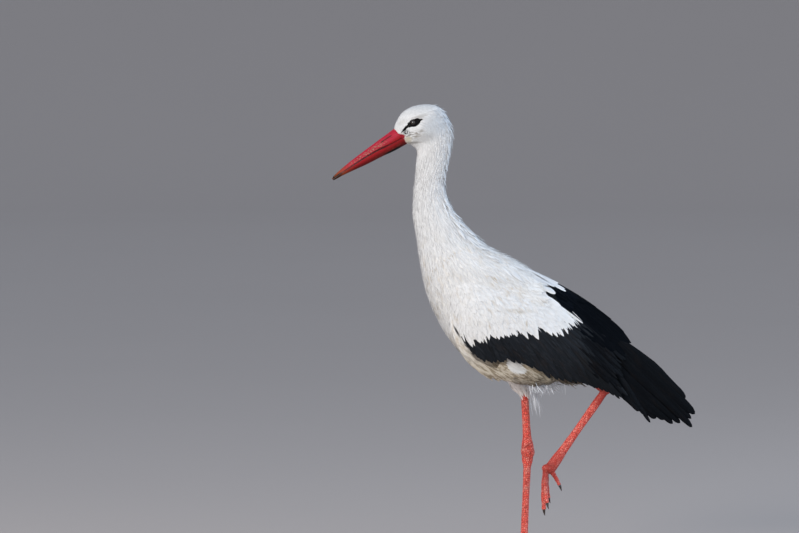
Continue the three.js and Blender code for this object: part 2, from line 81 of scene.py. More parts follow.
def makeLights():
    for name, (place, aim, size, power, colour) in lamps.items():
        data = bpy.data.lights.new(name, "AREA")
        data.shape = "DISK"
        data.size = size
        data.energy = power
        data.color = colour
        addAimed(name, data, place, aim)
    world = bpy.data.worlds.new("sky")
    world.use_nodes = True
    shade = world.node_tree.nodes["Background"]
    shade.inputs["Color"].default_value = (*studio["sky"], 1)
    shade.inputs["Strength"].default_value = studio["skyStrength"]
    bpy.context.scene.world = world
    bpy.context.scene.view_settings.view_transform = "Standard"


def unit(v):
    return v / np.maximum(np.linalg.norm(v, axis=-1, keepdims=True), 1e-12)


def dot(a, b):
    return (a * b).sum(-1)


def mix(a, b, share):
    return a + (b - a) * share


# 0 below low, 1 above high, and 3f^2 - 2f^3 between them
def ease(x, low, high):
    f = np.clip((x - low) / (high - low), 0, 1)
    return f * f * (3 - 2 * f)


# the value at x of a line through (x, value) pairs
def along(pairs, x):
    return np.interp(x, [p[0] for p in pairs], [p[1] for p in pairs])


# the same, eased at each pair
def eased(pairs, x):
    places, values = np.array(pairs, float).T
    i = np.clip(np.searchsorted(places, x, side="right") - 1, 0, len(places) - 2)
    return mix(values[i], values[i + 1], ease(x, places[i], places[i + 1]))


# a smooth curve through evenly spaced rows a, b, c, d:
# half of 2b + (c - a)f + (2a - 5b + 4c - d)f^2 + (3b - a - 3c + d)f^3
def through(rows, t):
    rows, t = np.asarray(rows, float), np.asarray(t, float)
    last = len(rows) - 1
    i = np.clip(np.floor(t).astype(int), 0, last - 1)
    f = (t - i)[..., None]
    b, c = rows[i], rows[i + 1]
    a = np.where((i > 0)[..., None], rows[np.maximum(i - 1, 0)], 2 * b - c)
    d = np.where((i + 2 <= last)[..., None], rows[np.minimum(i + 2, last)], 2 * c - b)
    return 0.5 * (2 * b + (c - a) * f + (2 * a - 5 * b + 4 * c - d) * f**2 + (3 * b - a - 3 * c + d) * f**3)


# True where a point of the side view lies inside a closed outline, by counting crossings
def inside(outline, x, z):
    found = np.zeros(x.shape, bool)
    for (x0, z0), (x1, z1) in zip(outline, outline[1:] + outline[:1]):
        crosses = (z0 > z) != (z1 > z)
        found ^= crosses & (x < x0 + (x1 - x0) * (z - z0) / ((z1 - z0) or 1e-12))
    return found


# distance from a point of the side view to the line between two others
def lineDistance(x, z, a, b):
    run = np.array(b, float) - np.array(a, float)
    share = np.clip(((x - a[0]) * run[0] + (z - a[1]) * run[1]) / (run @ run), 0, 1)
    return np.hypot(x - a[0] - share * run[0], z - a[1] - share * run[1])


# even steps between two values, crossed with even angles once round
def ringGrid(low, high, rows, points):
    turns = np.linspace(0, 2 * np.pi, points + 1)[:-1]
    return np.meshgrid(np.linspace(low, high, rows), turns, indexing="ij")


# faces of closed shells that are each a pole, some rings and a pole
def shellFaces(shells, rings, ring):
    size = rings * ring + 2
    j = np.arange(ring)
    k = (j + 1) % ring
    first = np.stack((np.zeros_like(j), 1 + k, 1 + j), 1)
    last = np.stack((np.full_like(j, size - 1), 1 + (rings - 1) * ring + j, 1 + (rings - 1) * ring + k), 1)
    level = (1 + np.arange(rings - 1) * ring)[:, None]
    walls = np.stack((level + j, level + k, level + ring + k, level + ring + j), -1).reshape(-1, 4)
    step = (np.arange(shells) * size)[:, None]
    corners = np.concatenate((first.ravel(), walls.ravel(), last.ravel()))
    sizes = np.concatenate((np.full(ring, 3), np.full(len(walls), 4), np.full(ring, 3)))
    columns = np.concatenate((j, np.tile(j, rings - 1), j))
    return (step + corners).ravel(), np.tile(sizes, shells), np.tile(columns, shells)


# faces of a grid whose columns close into rings, and its rows too if they are joined
def gridFaces(rows, columns, joined):
    i, j = np.meshgrid(np.arange(rows if joined else rows - 1), np.arange(columns), indexing="ij")
    a, b = (i + 1) % rows, (j + 1) % columns
    corners = np.stack((i * columns + j, i * columns + b, a * columns + b, a * columns + j), -1)
    return corners.ravel(), np.full(i.size, 4)


def reversedFaces(corners, sizes):
    starts = np.cumsum(sizes) - sizes
    owner = np.repeat(np.arange(len(sizes)), sizes)
    place = np.arange(len(corners)) - starts[owner]
    return corners[starts[owner] + sizes[owner] - 1 - place]


# the faces, turned over if the volume inside them adds up to less than nothing
def facingOut(points, corners, sizes):
    starts = np.cumsum(sizes) - sizes
    a, b, c = (points[corners[starts + k]] for k in range(3))
    four = sizes == 4
    d = points[corners[starts[four] + 3]]
    volume = dot(a, np.cross(b, c)).sum() + dot(a[four], np.cross(c[four], d)).sum()
    return points, reversedFaces(corners, sizes) if volume < 0 else corners, sizes


def setValues(mesh, key, numbers):
    layer = mesh.attributes.new(name=key, type="FLOAT", domain="POINT")
    layer.data.foreach_set("value", np.asarray(numbers, np.float32))


def makeMesh(name, points, corners, sizes, maps=None, values=None, normals=None):
    mesh = bpy.data.meshes.new(name)
    mesh.vertices.add(len(points))
    mesh.vertices.foreach_set("co", np.asarray(points, np.float32).ravel())
    mesh.loops.add(len(corners))
    mesh.loops.foreach_set("vertex_index", corners.astype(np.int32))
    mesh.polygons.add(len(sizes))
    mesh.polygons.foreach_set("loop_start", (np.cumsum(sizes) - sizes).astype(np.int32))
    mesh.update(calc_edges=True)
    mesh.polygons.foreach_set("use_smooth", np.ones(len(sizes), bool))
    for key, uv in (maps or {}).items():
        mesh.uv_layers.new(name=key).data.foreach_set("uv", np.asarray(uv, np.float32)[corners].ravel())
    for key, numbers in (values or {}).items():
        setValues(mesh, key, numbers)
    if normals is not None:
        layer = mesh.attributes.new(name="custom_normal", type="FLOAT_VECTOR", domain="CORNER")
        layer.data.foreach_set("vector", np.asarray(normals, np.float32).ravel())
    piece = bpy.data.objects.new(name, mesh)
    bpy.context.scene.collection.objects.link(piece)
    return piece


# one property of all of a mesh's vertices, edges or corners
def readAll(items, key, wide, kind=np.float32):
    found = np.empty(len(items) * wide, kind)
    items.foreach_get(key, found)
    return found.reshape(-1, wide)


def verticesOf(piece):
    return readAll(piece.data.vertices, "co", 3).astype(float)


# a closed skin over rows of rings, with a pole in the middle of each end ring
def closedShell(rows):
    points = np.concatenate((rows[0].mean(0)[None], rows.reshape(-1, 3), rows[-1].mean(0)[None]))
    return facingOut(points, *shellFaces(1, len(rows), rows.shape[1])[:2])


def joinedShells(shells):
    starts = np.cumsum([0] + [len(points) for points, _, _ in shells[:-1]])
    points = np.concatenate([points for points, _, _ in shells])
    corners = np.concatenate([corners + start for (_, corners, _), start in zip(shells, starts)])
    return points, corners, np.concatenate([sizes for _, _, sizes in shells])


# gives a piece its material, hangs it from the root body and hides the solids that it stands for
def finishPiece(piece, finish, replaced=()):
    material, slot = finish
    piece.data.materials.clear()
    piece.data.materials.append(material)
    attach(piece, "root")
    if replaced:
        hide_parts(*replaced)
    return piece


# a mesh remade from small even faces, which joins shells that overlap into one
def fused(piece, pitch, rounds):
    remesh = piece.modifiers.new("fuse", "REMESH")
    remesh.mode = "VOXEL"
    remesh.voxel_size = pitch
    smooth = piece.modifiers.new("soften", "SMOOTH")
    smooth.factor = 0.5
    smooth.iterations = rounds
    whole = bpy.data.meshes.new_from_object(piece.evaluated_get(bpy.context.evaluated_depsgraph_get()))
    piece.modifiers.clear()
    old = piece.data
    piece.data = whole
    bpy.data.meshes.remove(old)
    whole.polygons.foreach_set("use_smooth", np.ones(len(whole.polygons), bool))
    return piece


# The body as in the solids: middle x and z, lean of the top towards the tail, depth, width, egg,
# and the coat's depth.
bodyRibs = np.array([
    (-266, 900, -40, 44, 34, 0, 0.6), (-250, 916, -16, 75, 50, -0.1, 0.8), (-227, 919, 4, 98, 58, 0.05, 0.9),
    (-205, 908, 25, 117, 60, 0.15, 1.0), (-194, 877, 43, 112, 57, 0.15, 1.1),
    (-196, 839, 53, 94, 53, 0.05, 1.2),
    (-204, 790, 64, 74, 51, 0, 1.3), (-200, 745, 73, 81, 57, 0, 1.5), (-181, 699, 74, 105, 76, 0, 1.8),
    (-150, 643, 74, 150, 116, 0, 2.1), (-111, 588, 63, 203, 150, 0, 2.3),
    (-57, 527, 54, 240, 164, -0.05, 2.3),
    (8, 480, 44, 251, 160, -0.05, 2.3), (72, 441, 41, 178, 128, 0, 2.3), (140, 414, 40, 104, 86, 0, 2.1),
    (205, 383, 38, 62, 52, 0, 1.9), (258, 352, 35, 22, 40, 0, 1.5),
])
# top x and z, top out, bottom x and z, bottom out, and arch of a folded wing at even stations
wingRibs = np.array([
    (-158, 612, 46, -163, 552, 54, 8), (-128, 642, 34, -152, 500, 66, 26), (-84, 648, 22, -125, 450, 78, 42),
    (-30, 632, 14, -79, 418, 84, 48), (25, 608, 10, -20, 408, 83, 46), (82, 580, 7, 44, 393, 80, 40),
    (130, 550, 5, 106, 374, 76, 32), (176, 516, 4, 164, 361, 69, 24), (212, 483, 3.5, 204, 343, 58, 16),
    (232, 453, 3, 226, 333, 49, 11),
])
wingThick = [(0, 4), (1, 22), (2, 30), (3, 30), (4, 28), (5, 24), (6, 18), (7, 12), (8, 8), (9, 4)]
wingSwell = [(1.6, 0), (3, 14), (3.5, 11.5), (4, 8.5), (4.5, 9), (5, 9), (5.5, 3), (6, 0)]
wingSpan = np.linspace(-0.4, 9.4, 400)
wingRows = through(wingRibs, wingSpan)
# the outline of the wing's white: its lower edge from the bend to the back, then well clear of it
whiteWing = [
    (-158, 512), (-146, 500), (-130, 476), (-114, 458), (-106, 466), (-84, 472), (-54, 476), (-27, 481),
    (4, 478), (30, 478), (42, 488), (62, 482), (82, 482), (97, 490), (112, 497), (122, 499),
    (114, 505), (94, 518), (70, 537), (44, 555), (46, 570), (52, 582), (58, 594), (62, 604),
    (92, 720), (-250, 720), (-250, 540),
]


# a point of a body section: half its depth along the lean and half its width sideways
def bodyPlace(t, angle):
    x, z, lean, deep, wide, egg, coat = np.moveaxis(through(bodyRibs, t), -1, 0)
    lean = np.radians(lean)
    up = np.cos(angle) * (deep / 2 - coat)
    side = np.sin(angle) * (wide / 2 - coat) * (1 + egg * np.cos(angle))
    return np.stack((x + up * np.sin(lean), side, z + up * np.cos(lean)), -1) * mm


# how far out the head's skin lies at a point of the side view: the section whose plane holds the
# point is found by halving
def headOut(x, z):
    x, z = x / mm, z / mm
    low, high = np.zeros(np.shape(x)), np.full(np.shape(x), 4.5)
    for _ in range(20):
        t = (low + high) / 2
        middleX, middleZ, lean, deep, wide, egg, coat = np.moveaxis(through(bodyRibs, t), -1, 0)
        lean = np.radians(lean)
        ahead = (x - middleX) * np.cos(lean) - (z - middleZ) * np.sin(lean)
        low, high = np.where(ahead > 0, t, low), np.where(ahead > 0, high, t)
    up = (x - middleX) * np.sin(lean) + (z - middleZ) * np.cos(lean)
    cosine = np.clip(up / (deep / 2 - coat), -0.999, 0.999)
    return np.sqrt(1 - cosine**2) * (wide / 2 - coat) * (1 + egg * cosine) * mm


def wingRow(t):
    return [np.interp(t, wingSpan, column) for column in wingRows.T]


# station and height share of a point of the wing seen from the side, found by halving, and the
# wing's height there in millimetres
def wingStation(x, z):
    x, z = x / mm, z / mm
    low, high = np.full(np.shape(x), wingSpan[0]), np.full(np.shape(x), wingSpan[-1])
    for _ in range(16):
        t = (low + high) / 2
        topX, topZ, _, footX, footZ, _, _ = wingRow(t)
        turn = (topX - footX) * (z - footZ) - (topZ - footZ) * (x - footX)
        low, high = np.where(turn < 0, t, low), np.where(turn < 0, high, t)
    tall = np.hypot(topX - footX, topZ - footZ)
    return t, ((x - footX) * (topX - footX) + (z - footZ) * (topZ - footZ)) / tall**2, tall


# how far out the folded wing's face lies: straight from bottom to top, plus a parabola, plus the
# swell of the back beneath its upper edge
def wingFace(t, rise):
    _, _, topOut, _, _, footOut, arch = wingRow(t)
    swell = along(wingSwell, t) * ease(rise, 0.70, 0.92) * (1 - 0.6 * ease(rise, 0.93, 1.02))
    return (mix(footOut, topOut, rise) + arch * 4 * np.maximum(rise * (1 - rise), -0.04) + swell) * mm


def wingOut(x, z):
    return wingFace(*wingStation(x, z)[:2])


# a point of the folded wing's face; beyond the top edge it turns in over the back, and below the
# lower edge by this share of the way down
def wingPlace(side, tuck=0.0):
    def place(x, z):
        t, rise, tall = wingStation(x, z)
        topX, topZ, _, footX, footZ, _, _ = wingRow(t)
        over, rise = np.maximum(rise - 1, 0) * mm, np.minimum(rise, 1)
        out = wingFace(t, rise) - (tuck * np.maximum(-0.1 - rise, 0) * mm + over) * tall
        return np.stack((x - over * (topX - footX), side * out, z - over * (topZ - footZ)), -1)

    return place


# how far inside the folded wing's outline a point of the side view lies, about
def wingRim(x, z):
    t, rise, tall = wingStation(x, z)
    return np.minimum(np.minimum(rise, 1 - rise) * tall * mm, np.minimum(t, 9 - t) * 0.05)


legs = {
    "right": {
        "side": 1,
        "thighTop": (-24, 42, 452), "thighEnd": (2, 17, 343), "ankle": (9, 13, 219), "ball": (0, 0, 11),
        "radii": [(0, 56), (0.45, 44), (0.75, 22), (1, 10.5)],
        "shift": [(0, 0), (0.5, 6), (0.85, 4), (1, 0)],
    },
    "left": {
        "side": -1,
        "thighTop": (-40, -52, 450), "thighEnd": (88, -54, 397), "ankle": (175, -45, 358),
        "ball": (55, -46, 187),
        "radii": [(0, 66), (0.35, 64), (0.6, 56), (0.8, 42), (0.93, 26), (1, 11)],
        "shift": [(0, 0), (1, 0)],
    },
}
for leg in legs.values():
    leg.update({key: np.array(leg[key], float) for key in ("thighTop", "thighEnd", "ankle", "ball")})


# the ways along a bone, forward of it and sideways
def boneWays(start, end):
    run = unit(end - start)
    fore = unit(np.cross((0, 1.0, 0), run))
    return run, fore, np.cross(run, fore)


def thighCoat(share):
    return 2.0 * (1 - 0.7 * ease(share, 0.7, 1))


# a point of a feathered thigh: an ellipse about its bone, drawn in where the wing lies over it
def thighPlace(leg):
    start, end, side = leg["thighTop"], leg["thighEnd"], leg["side"]
    _, fore, lateral = boneWays(start, end)

    def place(share, angle):
        coat = thighCoat(share)
        radius = eased(leg["radii"], share) - coat
        middle = start + share[..., None] * (end - start) + eased(leg["shift"], share)[..., None] * fore
        around = np.cos(angle)[..., None] * fore + (0.6 * np.sin(angle))[..., None] * lateral
        x, y, z = np.moveaxis((middle + radius[..., None] * around) * mm, -1, 0)
        room = wingOut(x, z) - (0.012 + coat * mm)
        tight = np.where(side * y > room, side * (room + 0.2 * (side * y - room)), y)
        return np.stack((x, mix(y, tight, ease(wingRim(x, z), -0.012, 0.004)), z), -1)

    return place


bareFace = {
    "patch": (-0.2367, 0.9296, 0.0140, 0.0078, 26),  # middle, half length, half height, tilt
    # the streaks towards the bill and the rear corner: ends and half width
    "streaks": [
        ((-0.2485, 0.9232), (-0.2568, 0.9162), 0.0028), ((-0.2568, 0.9162), (-0.2626, 0.9092), 0.0013),
        ((-0.2290, 0.9330), (-0.2200, 0.9370), 0.0012),
    ],
}
# the red skin behind the bill ends at this x for each height
gape = [
    (0.8835, -0.2530), (0.8860, -0.2515), (0.8885, -0.2548), (0.8950, -0.2578), (0.9026, -0.2562),
    (0.9052, -0.2640), (0.9066, -0.2780),
]


# distance outside the bare patch in the side view, below 0 within it
def bareDistance(x, z):
    middleX, middleZ, halfLong, halfTall, tilt = bareFace["patch"]
    cosine, sine = math.cos(math.radians(tilt)), math.sin(math.radians(tilt))
    a = (x - middleX) * cosine + (z - middleZ) * sine
    b = (z - middleZ) * cosine - (x - middleX) * sine
    patch = (np.hypot(a / halfLong, b / halfTall) - 1) * halfTall
    streaks = [lineDistance(x, z, start, end) - wide for start, end, wide in bareFace["streaks"]]
    return np.minimum.reduce([patch] + streaks)


# distance behind the edge of the red skin in the side view, below 0 within it
def gapeDistance(x, z):
    beyond = np.maximum(gape[0][0] - z, z - gape[-1][0])
    return np.maximum(x - along(gape, z), beyond)


# the surface's point, its change with u and v, and its outward normal
def frameAt(place, u, v, sign, step=2e-4):
    p = place(u, v)
    pu = (place(u + step, v) - p) / step
    pv = (place(u, v + step) - p) / step
    return p, pu, pv, unit(np.cross(pu, pv)) * sign


# a way turned into the surface with this normal
def flattened(way, normal):
    return unit(way - normal * dot(way, normal)[..., None])


# roots spread evenly by area: a low-discrepancy pair of numbers for each root is carried
# through the running sums of area times density
def spreadRoots(place, uEnds, vEnds, density, cells=200):
    u, v = np.linspace(*uEnds, cells + 1), np.linspace(*vEnds, cells + 1)
    grid = place(*np.meshgrid(u, v, indexing="ij"))
    across, down = grid[:-1, 1:] - grid[:-1, :-1], grid[1:, :-1] - grid[:-1, :-1]
    area = np.linalg.norm(np.cross(across, down), axis=-1)
    middleU, middleV = np.meshgrid((u[1:] + u[:-1]) / 2, (v[1:] + v[:-1]) / 2, indexing="ij")
    weight = area * density(middleU, middleV) + 1e-14
    rows = weight.sum(1)
    number = np.arange(int(rows.sum()))
    first, second = (0.5 + number * 0.7548776662) % 1, (0.5 + number * 0.5698402910) % 1
    sums = np.concatenate(([0], np.cumsum(rows)))
    at = first * sums[-1]
    i = np.clip(np.searchsorted(sums, at, side="right") - 1, 0, cells - 1)
    shares = np.cumsum(weight, 1) / rows[:, None]
    flat = (shares + np.arange(cells)[:, None]).ravel()
    j = np.clip(np.searchsorted(flat, second + i) - i * cells, 0, cells - 1)
    before = np.where(j > 0, shares[i, j - 1], 0)
    rootU = u[i] + (u[1] - u[0]) * (at - sums[i]) / rows[i]
    rootV = v[j] + (v[1] - v[0]) * np.clip((second - before) / (shares[i, j] - before + 1e-12), 0, 1)
    return rootU, rootV


# one root for each such area, in square millimetres
def perArea(area):
    return 1 / (area * mm * mm)


# sizes that vary about 1 by this share
def varied(spread, *shape):
    return np.exp(chance.normal(0, spread, shape))


def kept(mask, *arrays):
    return [array[mask] for array in arrays]


# half-width of a feather at shares of its length
feathers = {
    "speck": [(0.22, 0.85), (0.68, 0.8)],
    "lance": [(0.15, 0.62), (0.45, 1), (0.8, 0.55)],
    "frond": [(0.12, 0.6), (0.45, 1), (0.74, 0.82), (0.92, 0.34)],
    "wisp": [(0.2, 0.8), (0.65, 0.7)],
    "finger": [
        (0.03, 0.35), (0.12, 0.72), (0.28, 0.94), (0.48, 1), (0.6, 0.95), (0.7, 0.80), (0.8, 0.66),
        (0.9, 0.58), (0.955, 0.47), (0.985, 0.28),
    ],
    "blade": [
        (0.03, 0.35), (0.12, 0.72), (0.28, 0.94), (0.45, 1), (0.6, 1), (0.74, 0.97), (0.84, 0.88),
        (0.91, 0.70), (0.96, 0.48), (0.99, 0.22),
    ],
}
bakePatch = 0.003


def featherOutline(shape):
    return np.array([(0, 0), *feathers[shape], (1, 0)], float).T


# Closed vanes from a lattice of points: edge, shaft and edge at each station, with the two end
# stations drawn to a pole. The shaft is thick and the edges are thin. Each vane is shaded as the
# surface under it, turned a little outwards by `rounded` at its edges. Each vane's own map holds
# metres across and along it, and its second map a small patch at its root's place.
def vaneMesh(name, points, normals, widths, stations, lengths, thick, roots, rounded=0.12):
    places, shade = bakePlaces(roots), chance.normal(0, 1, len(roots))
    count, levels, columns = points.shape[:3]
    rings, ring = levels - 2, 2 * columns - 2
    shares = np.linspace(-1, 1, columns)
    body = (1 - shares**2)[None, None, :, None] * np.broadcast_to(thick, count)[:, None, None, None] * 0.5
    body = body * (1 - 0.55 * stations[None, :, None, None])
    top, low = points + normals * body, points - normals * body
    order = np.arange(columns - 2, 0, -1)
    middle = columns // 2

    def wound(upper, lower):
        under = lower[:, 1:-1][:, :, order]
        loops = np.concatenate((upper[:, 1:-1], under), 2).reshape(count, rings * ring, -1)
        return np.concatenate((upper[:, :1, middle], loops, upper[:, -1:, middle]), 1)

    whole = wound(np.concatenate((points[:, :1], top[:, 1:-1], points[:, -1:]), 1), low)
    wide = unit(points[:, :, -1] - points[:, :, 0])[:, :, None]
    turned = unit(normals + rounded * shares[None, None, :, None] * wide)
    corners, sizes, column = shellFaces(count, rings, ring)
    facing = np.repeat(np.where(column < columns - 1, 1, -1), sizes)[:, None]
    cornerNormals = wound(turned, turned).reshape(-1, 3)[corners] * facing
    run = np.broadcast_to((lengths[:, None] * stations)[..., None], points.shape[:3])
    flat = np.stack((shares * widths[..., None], run), -1)
    vane = wound(flat, flat)
    span = np.stack((vane[..., 0] / np.maximum(widths.max(1), 1e-6)[:, None],
                     vane[..., 1] / lengths[:, None] * 2 - 1), -1)
    patches = np.clip(places[:, None] + span * bakePatch / 2, 0, 1)
    piece = makeMesh(name, whole.reshape(-1, 3), corners, sizes,
                     {"vane": vane.reshape(-1, 2), "OFBake": patches.reshape(-1, 2)},
                     {"shade": np.repeat(shade, whole.shape[1])}, cornerNormals)
    spot = readAll(piece.data.edges, "vertices", 2, np.int32) % whole.shape[1]
    pole = (spot == 0) | (spot == whole.shape[1] - 1)
    rim = np.isin((spot - 1) % ring, (0, columns - 1))
    piece.data.edges.foreach_set("use_edge_sharp", (rim | pole).all(1))
    return piece


# Vanes laid on a surface. Each runs from its root along its heading and follows the surface, and
# its height over it climbs from lift[0] to lift[1], so that it lies under those behind it.
def layVanes(name, place, u, v, make, finish, sign=1, heading=None):
    count = len(u)
    p, pu, pv, n = frameAt(place, u, v, sign)
    ahead = flattened(unit(pu) if heading is None else heading, n)
    turn = chance.normal(0, math.radians(make["stray"]), count)[:, None]
    ahead = ahead * np.cos(turn) + np.cross(n, ahead) * np.sin(turn)
    across = np.cross(ahead, n)
    a, b, c = dot(pu, pu), dot(pu, pv), dot(pv, pv)

    def toSurface(direction):
        e, f = dot(pu, direction), dot(pv, direction)
        flat = np.stack((c * e - b * f, a * f - b * e)) / (a * c - b * b)
        return flat[:, :, None, None]

    stations, widthShares = featherOutline(make["shape"])
    length = make["length"]
    root, tip = (np.broadcast_to(end, count)[:, None] for end in make["lift"])
    ragged = 1 + chance.normal(0, make.get("ragged", 0.05), (count, len(stations)))
    widths = make["width"][:, None] / 2 * widthShares * ragged
    shares = np.linspace(-1, 1, make.get("columns", 3))
    sway = (chance.normal(0, make.get("sway", 0.04), count) + make.get("curve", 0))[:, None] * stations**2
    run = (length[:, None] * stations)[:, :, None]
    side = shares * widths[:, :, None] + (sway * length[:, None])[:, :, None]
    (aheadU, aheadV), (acrossU, acrossV) = toSurface(ahead), toSurface(across)
    u, v = u[:, None, None] + aheadU * run + acrossU * side, v[:, None, None] + aheadV * run + acrossV * side
    points, _, _, normals = frameAt(place, u, v, sign)
    lift = mix(root, tip, stations ** make.get("climb", 1.0))
    roll = chance.normal(0, make.get("roll", 0.03), count) + make.get("tip", 0)
    lift = lift[:, :, None] + (roll[:, None, None] * shares - 0.05 * shares**2) * widths[:, :, None]
    points = points + normals * lift[..., None]
    rounded = make.get("rounded", 0.12)
    piece = vaneMesh(name, points, normals, widths, stations, length, make["thick"], p, rounded)
    return finishPiece(piece, finish, make.get("replaces", ()))


skinMake = {"pitch": 0.0032, "wingCoat": 2.0, "wingReach": (0.25, 6.8)}


# the inner and outer faces of a folded wing as one flat closed body
def wingCore(side):
    t = np.linspace(*skinMake["wingReach"], 44)[:, None]
    low = along([(0, 0.2), (1, 0.16), (2, 0.12), (4, 0.28), (5, 0.38), (6, 0.5), (7, 0.62)], t)
    share = np.concatenate((np.linspace(0, 1, 22), np.linspace(1, 0, 22)[1:-1]))
    inner = np.concatenate((np.zeros(22), np.ones(20)))
    topX, topZ, topOut, footX, footZ, footOut, arch = np.moveaxis(through(wingRibs, t), -1, 0)
    rise = mix(low, 0.93, share)
    out = mix(footOut, topOut, rise) + arch * 4 * rise * (1 - rise)
    thick = along(wingThick, t) * np.sqrt(np.maximum(share * (1 - share), 0.01)) * 2 - skinMake["wingCoat"]
    out = out - skinMake["wingCoat"] - inner * np.maximum(thick, 3.4)
    return closedShell(np.stack((mix(footX, topX, rise), side * out, mix(footZ, topZ, rise)), -1) * mm)


def makeSkin():
    shells = [closedShell(bodyPlace(*ringGrid(0, 16, 180, 96))), wingCore(-1), wingCore(1)]
    shells += [closedShell(thighPlace(leg)(*ringGrid(0, 1, 40, 48))) for leg in legs.values()]
    skin = fused(makeMesh("skin", *joinedShells(shells)), skinMake["pitch"], 2)
    bpy.context.view_layer.objects.active = skin
    skin.select_set(True)
    triangles = skin.modifiers.new("thirds", "TRIANGULATE")
    bpy.ops.object.modifier_apply(modifier=triangles.name)
    skin.data.uv_layers.active = skin.data.uv_layers.new(name="OFBake")
    bpy.ops.object.mode_set(mode="EDIT")
    bpy.ops.mesh.select_all(action="SELECT")
    bpy.ops.uv.smart_project(angle_limit=1.15, island_margin=0.004, scale_to_bounds=True)
    bpy.ops.object.mode_set(mode="OBJECT")
    skin.select_set(False)
    x, y, z = verticesOf(skin).T
    black = ~inside(whiteWing, x / mm, z / mm) & (wingRim(x, z) > 0.006) & (np.abs(y) > 0.02)
    setValues(skin.data, "black", black | (x > 0.05) & (z > 0.5))
    setValues(skin.data, "bare", 1 - ease(bareDistance(x, z), -0.0005, 0.0008))
    setValues(skin.data, "gape", 1 - ease(gapeDistance(x, z), -0.0005, 0.0008))
    return skin


makeCamera()
makeLights()
print("stage: camera and lights")
skin = makeSkin()
skinPoints = verticesOf(skin)
skinCorners = readAll(skin.data.loops, "vertex_index", 1, np.int32).reshape(-1, 3)
skinMap = readAll(skin.data.uv_layers["OFBake"].data, "uv", 2)
skinTree = BVHTree.FromPolygons(skinPoints.tolist(), skinCorners.tolist())
print("stage: skin of", len(skinCorners), "triangles")


# the place on the skin's unwrap that lies nearest to each root: the weights of the nearest
# triangle's corners carry its map there
def bakePlaces(roots):
    found = [skinTree.find_nearest(root) for root in roots.tolist()]
    spots = np.array([spot[0] for spot in found])
    faces = np.array([spot[2] for spot in found])
    a, b, c = (skinPoints[skinCorners[faces, k]] for k in range(3))
    e, f, g = b - a, c - a, spots - a
    ee, ef, ff, ge, gf = dot(e, e), dot(e, f), dot(f, f), dot(g, e), dot(g, f)
    span = ee * ff - ef * ef + 1e-30
    second, third = (ff * ge - ef * gf) / span, (ee * gf - ef * ge) / span
    first, one, two = (skinMap[faces * 3 + k] for k in range(3))
    return first + second[:, None] * (one - first) + third[:, None] * (two - first)


work = {}  # the node tree that is being built


# a value that flows through the nodes, so that sums and products read as such
class Signal:
    def __init__(self, node, output=0):
        self.socket = node.outputs[output]

    def __add__(self, other):
        return calc("ADD", self, other)

    def __sub__(self, other):
        return calc("SUBTRACT", self, other)

    def __mul__(self, other):
        return calc("MULTIPLY", self, other)

    def __truediv__(self, other):
        return calc("DIVIDE", self, other)


def feed(socket, value):
    if isinstance(value, Signal):
        work["tree"].links.new(value.socket, socket)
    else:
        socket.default_value = (*value, 1.0) if socket.type == "RGBA" else value


def addNode(kind, inputs=None, **settings):
    node = work["tree"].nodes.new(kind)
    for key, value in settings.items():
        setattr(node, key, value)
    for key, value in (inputs or {}).items():
        feed(node.inputs[key], value)
    return node


def calc(operation, *values):
    return Signal(addNode("ShaderNodeMath", dict(enumerate(values)), operation=operation))


def remap(value, low, high, toLow=0.0, toHigh=1.0, kind="SMOOTHSTEP"):
    inputs = {"Value": value, "From Min": low, "From Max": high, "To Min": toLow, "To Max": toHigh}
    return Signal(addNode("ShaderNodeMapRange", inputs, interpolation_type=kind), "Result")


def blend(share, first, second, how="MIX"):
    inputs = {0: share, 6: first, 7: second}
    return Signal(addNode("ShaderNodeMix", inputs, data_type="RGBA", blend_type=how), 2)


# tones laid over a base one after another, each by its share
def layered(base, *layers):
    for share, tone in layers:
        base = blend(share, base, tone)
    return base


def attribute(name):
    return Signal(addNode("ShaderNodeAttribute", attribute_name=name), "Fac")


def objectPlace():
    return Signal(addNode("ShaderNodeTexCoord"), "Object")


def moved(vector, kind="POINT", **inputs):
    return Signal(addNode("ShaderNodeMapping", {"Vector": vector, **inputs}, vector_type=kind))


def splitXYZ(vector):
    node = addNode("ShaderNodeSeparateXYZ", {"Vector": vector})
    return [Signal(node, axis) for axis in "XYZ"]


def noise(scale, detail=3.0, rough=0.55, vector=None):
    inputs = {"Vector": vector or objectPlace(), "Scale": scale, "Detail": detail, "Roughness": rough}
    return Signal(addNode("ShaderNodeTexNoise", inputs), "Fac")


# noise in streaks that run so many degrees below level towards the tail
def leaning(lean, scale, stretch, detail=3.0):
    turned = moved(objectPlace(), "TEXTURE", Rotation=(0, math.radians(lean), 0), Scale=(stretch, 1, 1))
    return noise(scale, detail, 0.6, turned)


def newMaterial(name):
    material = bpy.data.materials.new(name)
    material.use_nodes = True
    work["tree"] = material.node_tree
    return material


# the material with these inputs, and bumps of this height in metres
def shaded(material, base, rough, height=None, depth=0.0, **more):
    inputs = material.node_tree.nodes["Principled BSDF"].inputs
    for key, value in {"Base Color": base, "Roughness": rough}.items():
        feed(inputs[key], value)
    for key, value in more.items():
        inputs[shineNames[key]].default_value = value
    if height:
        bump = addNode("ShaderNodeBump", {"Height": height, "Distance": depth})
        feed(inputs["Normal"], Signal(bump, "Normal"))
    return material


shineNames = {
    "shine": "Specular IOR Level", "sheen": "Sheen Weight",
    "coat": "Coat Weight", "coatRough": "Coat Roughness",
}


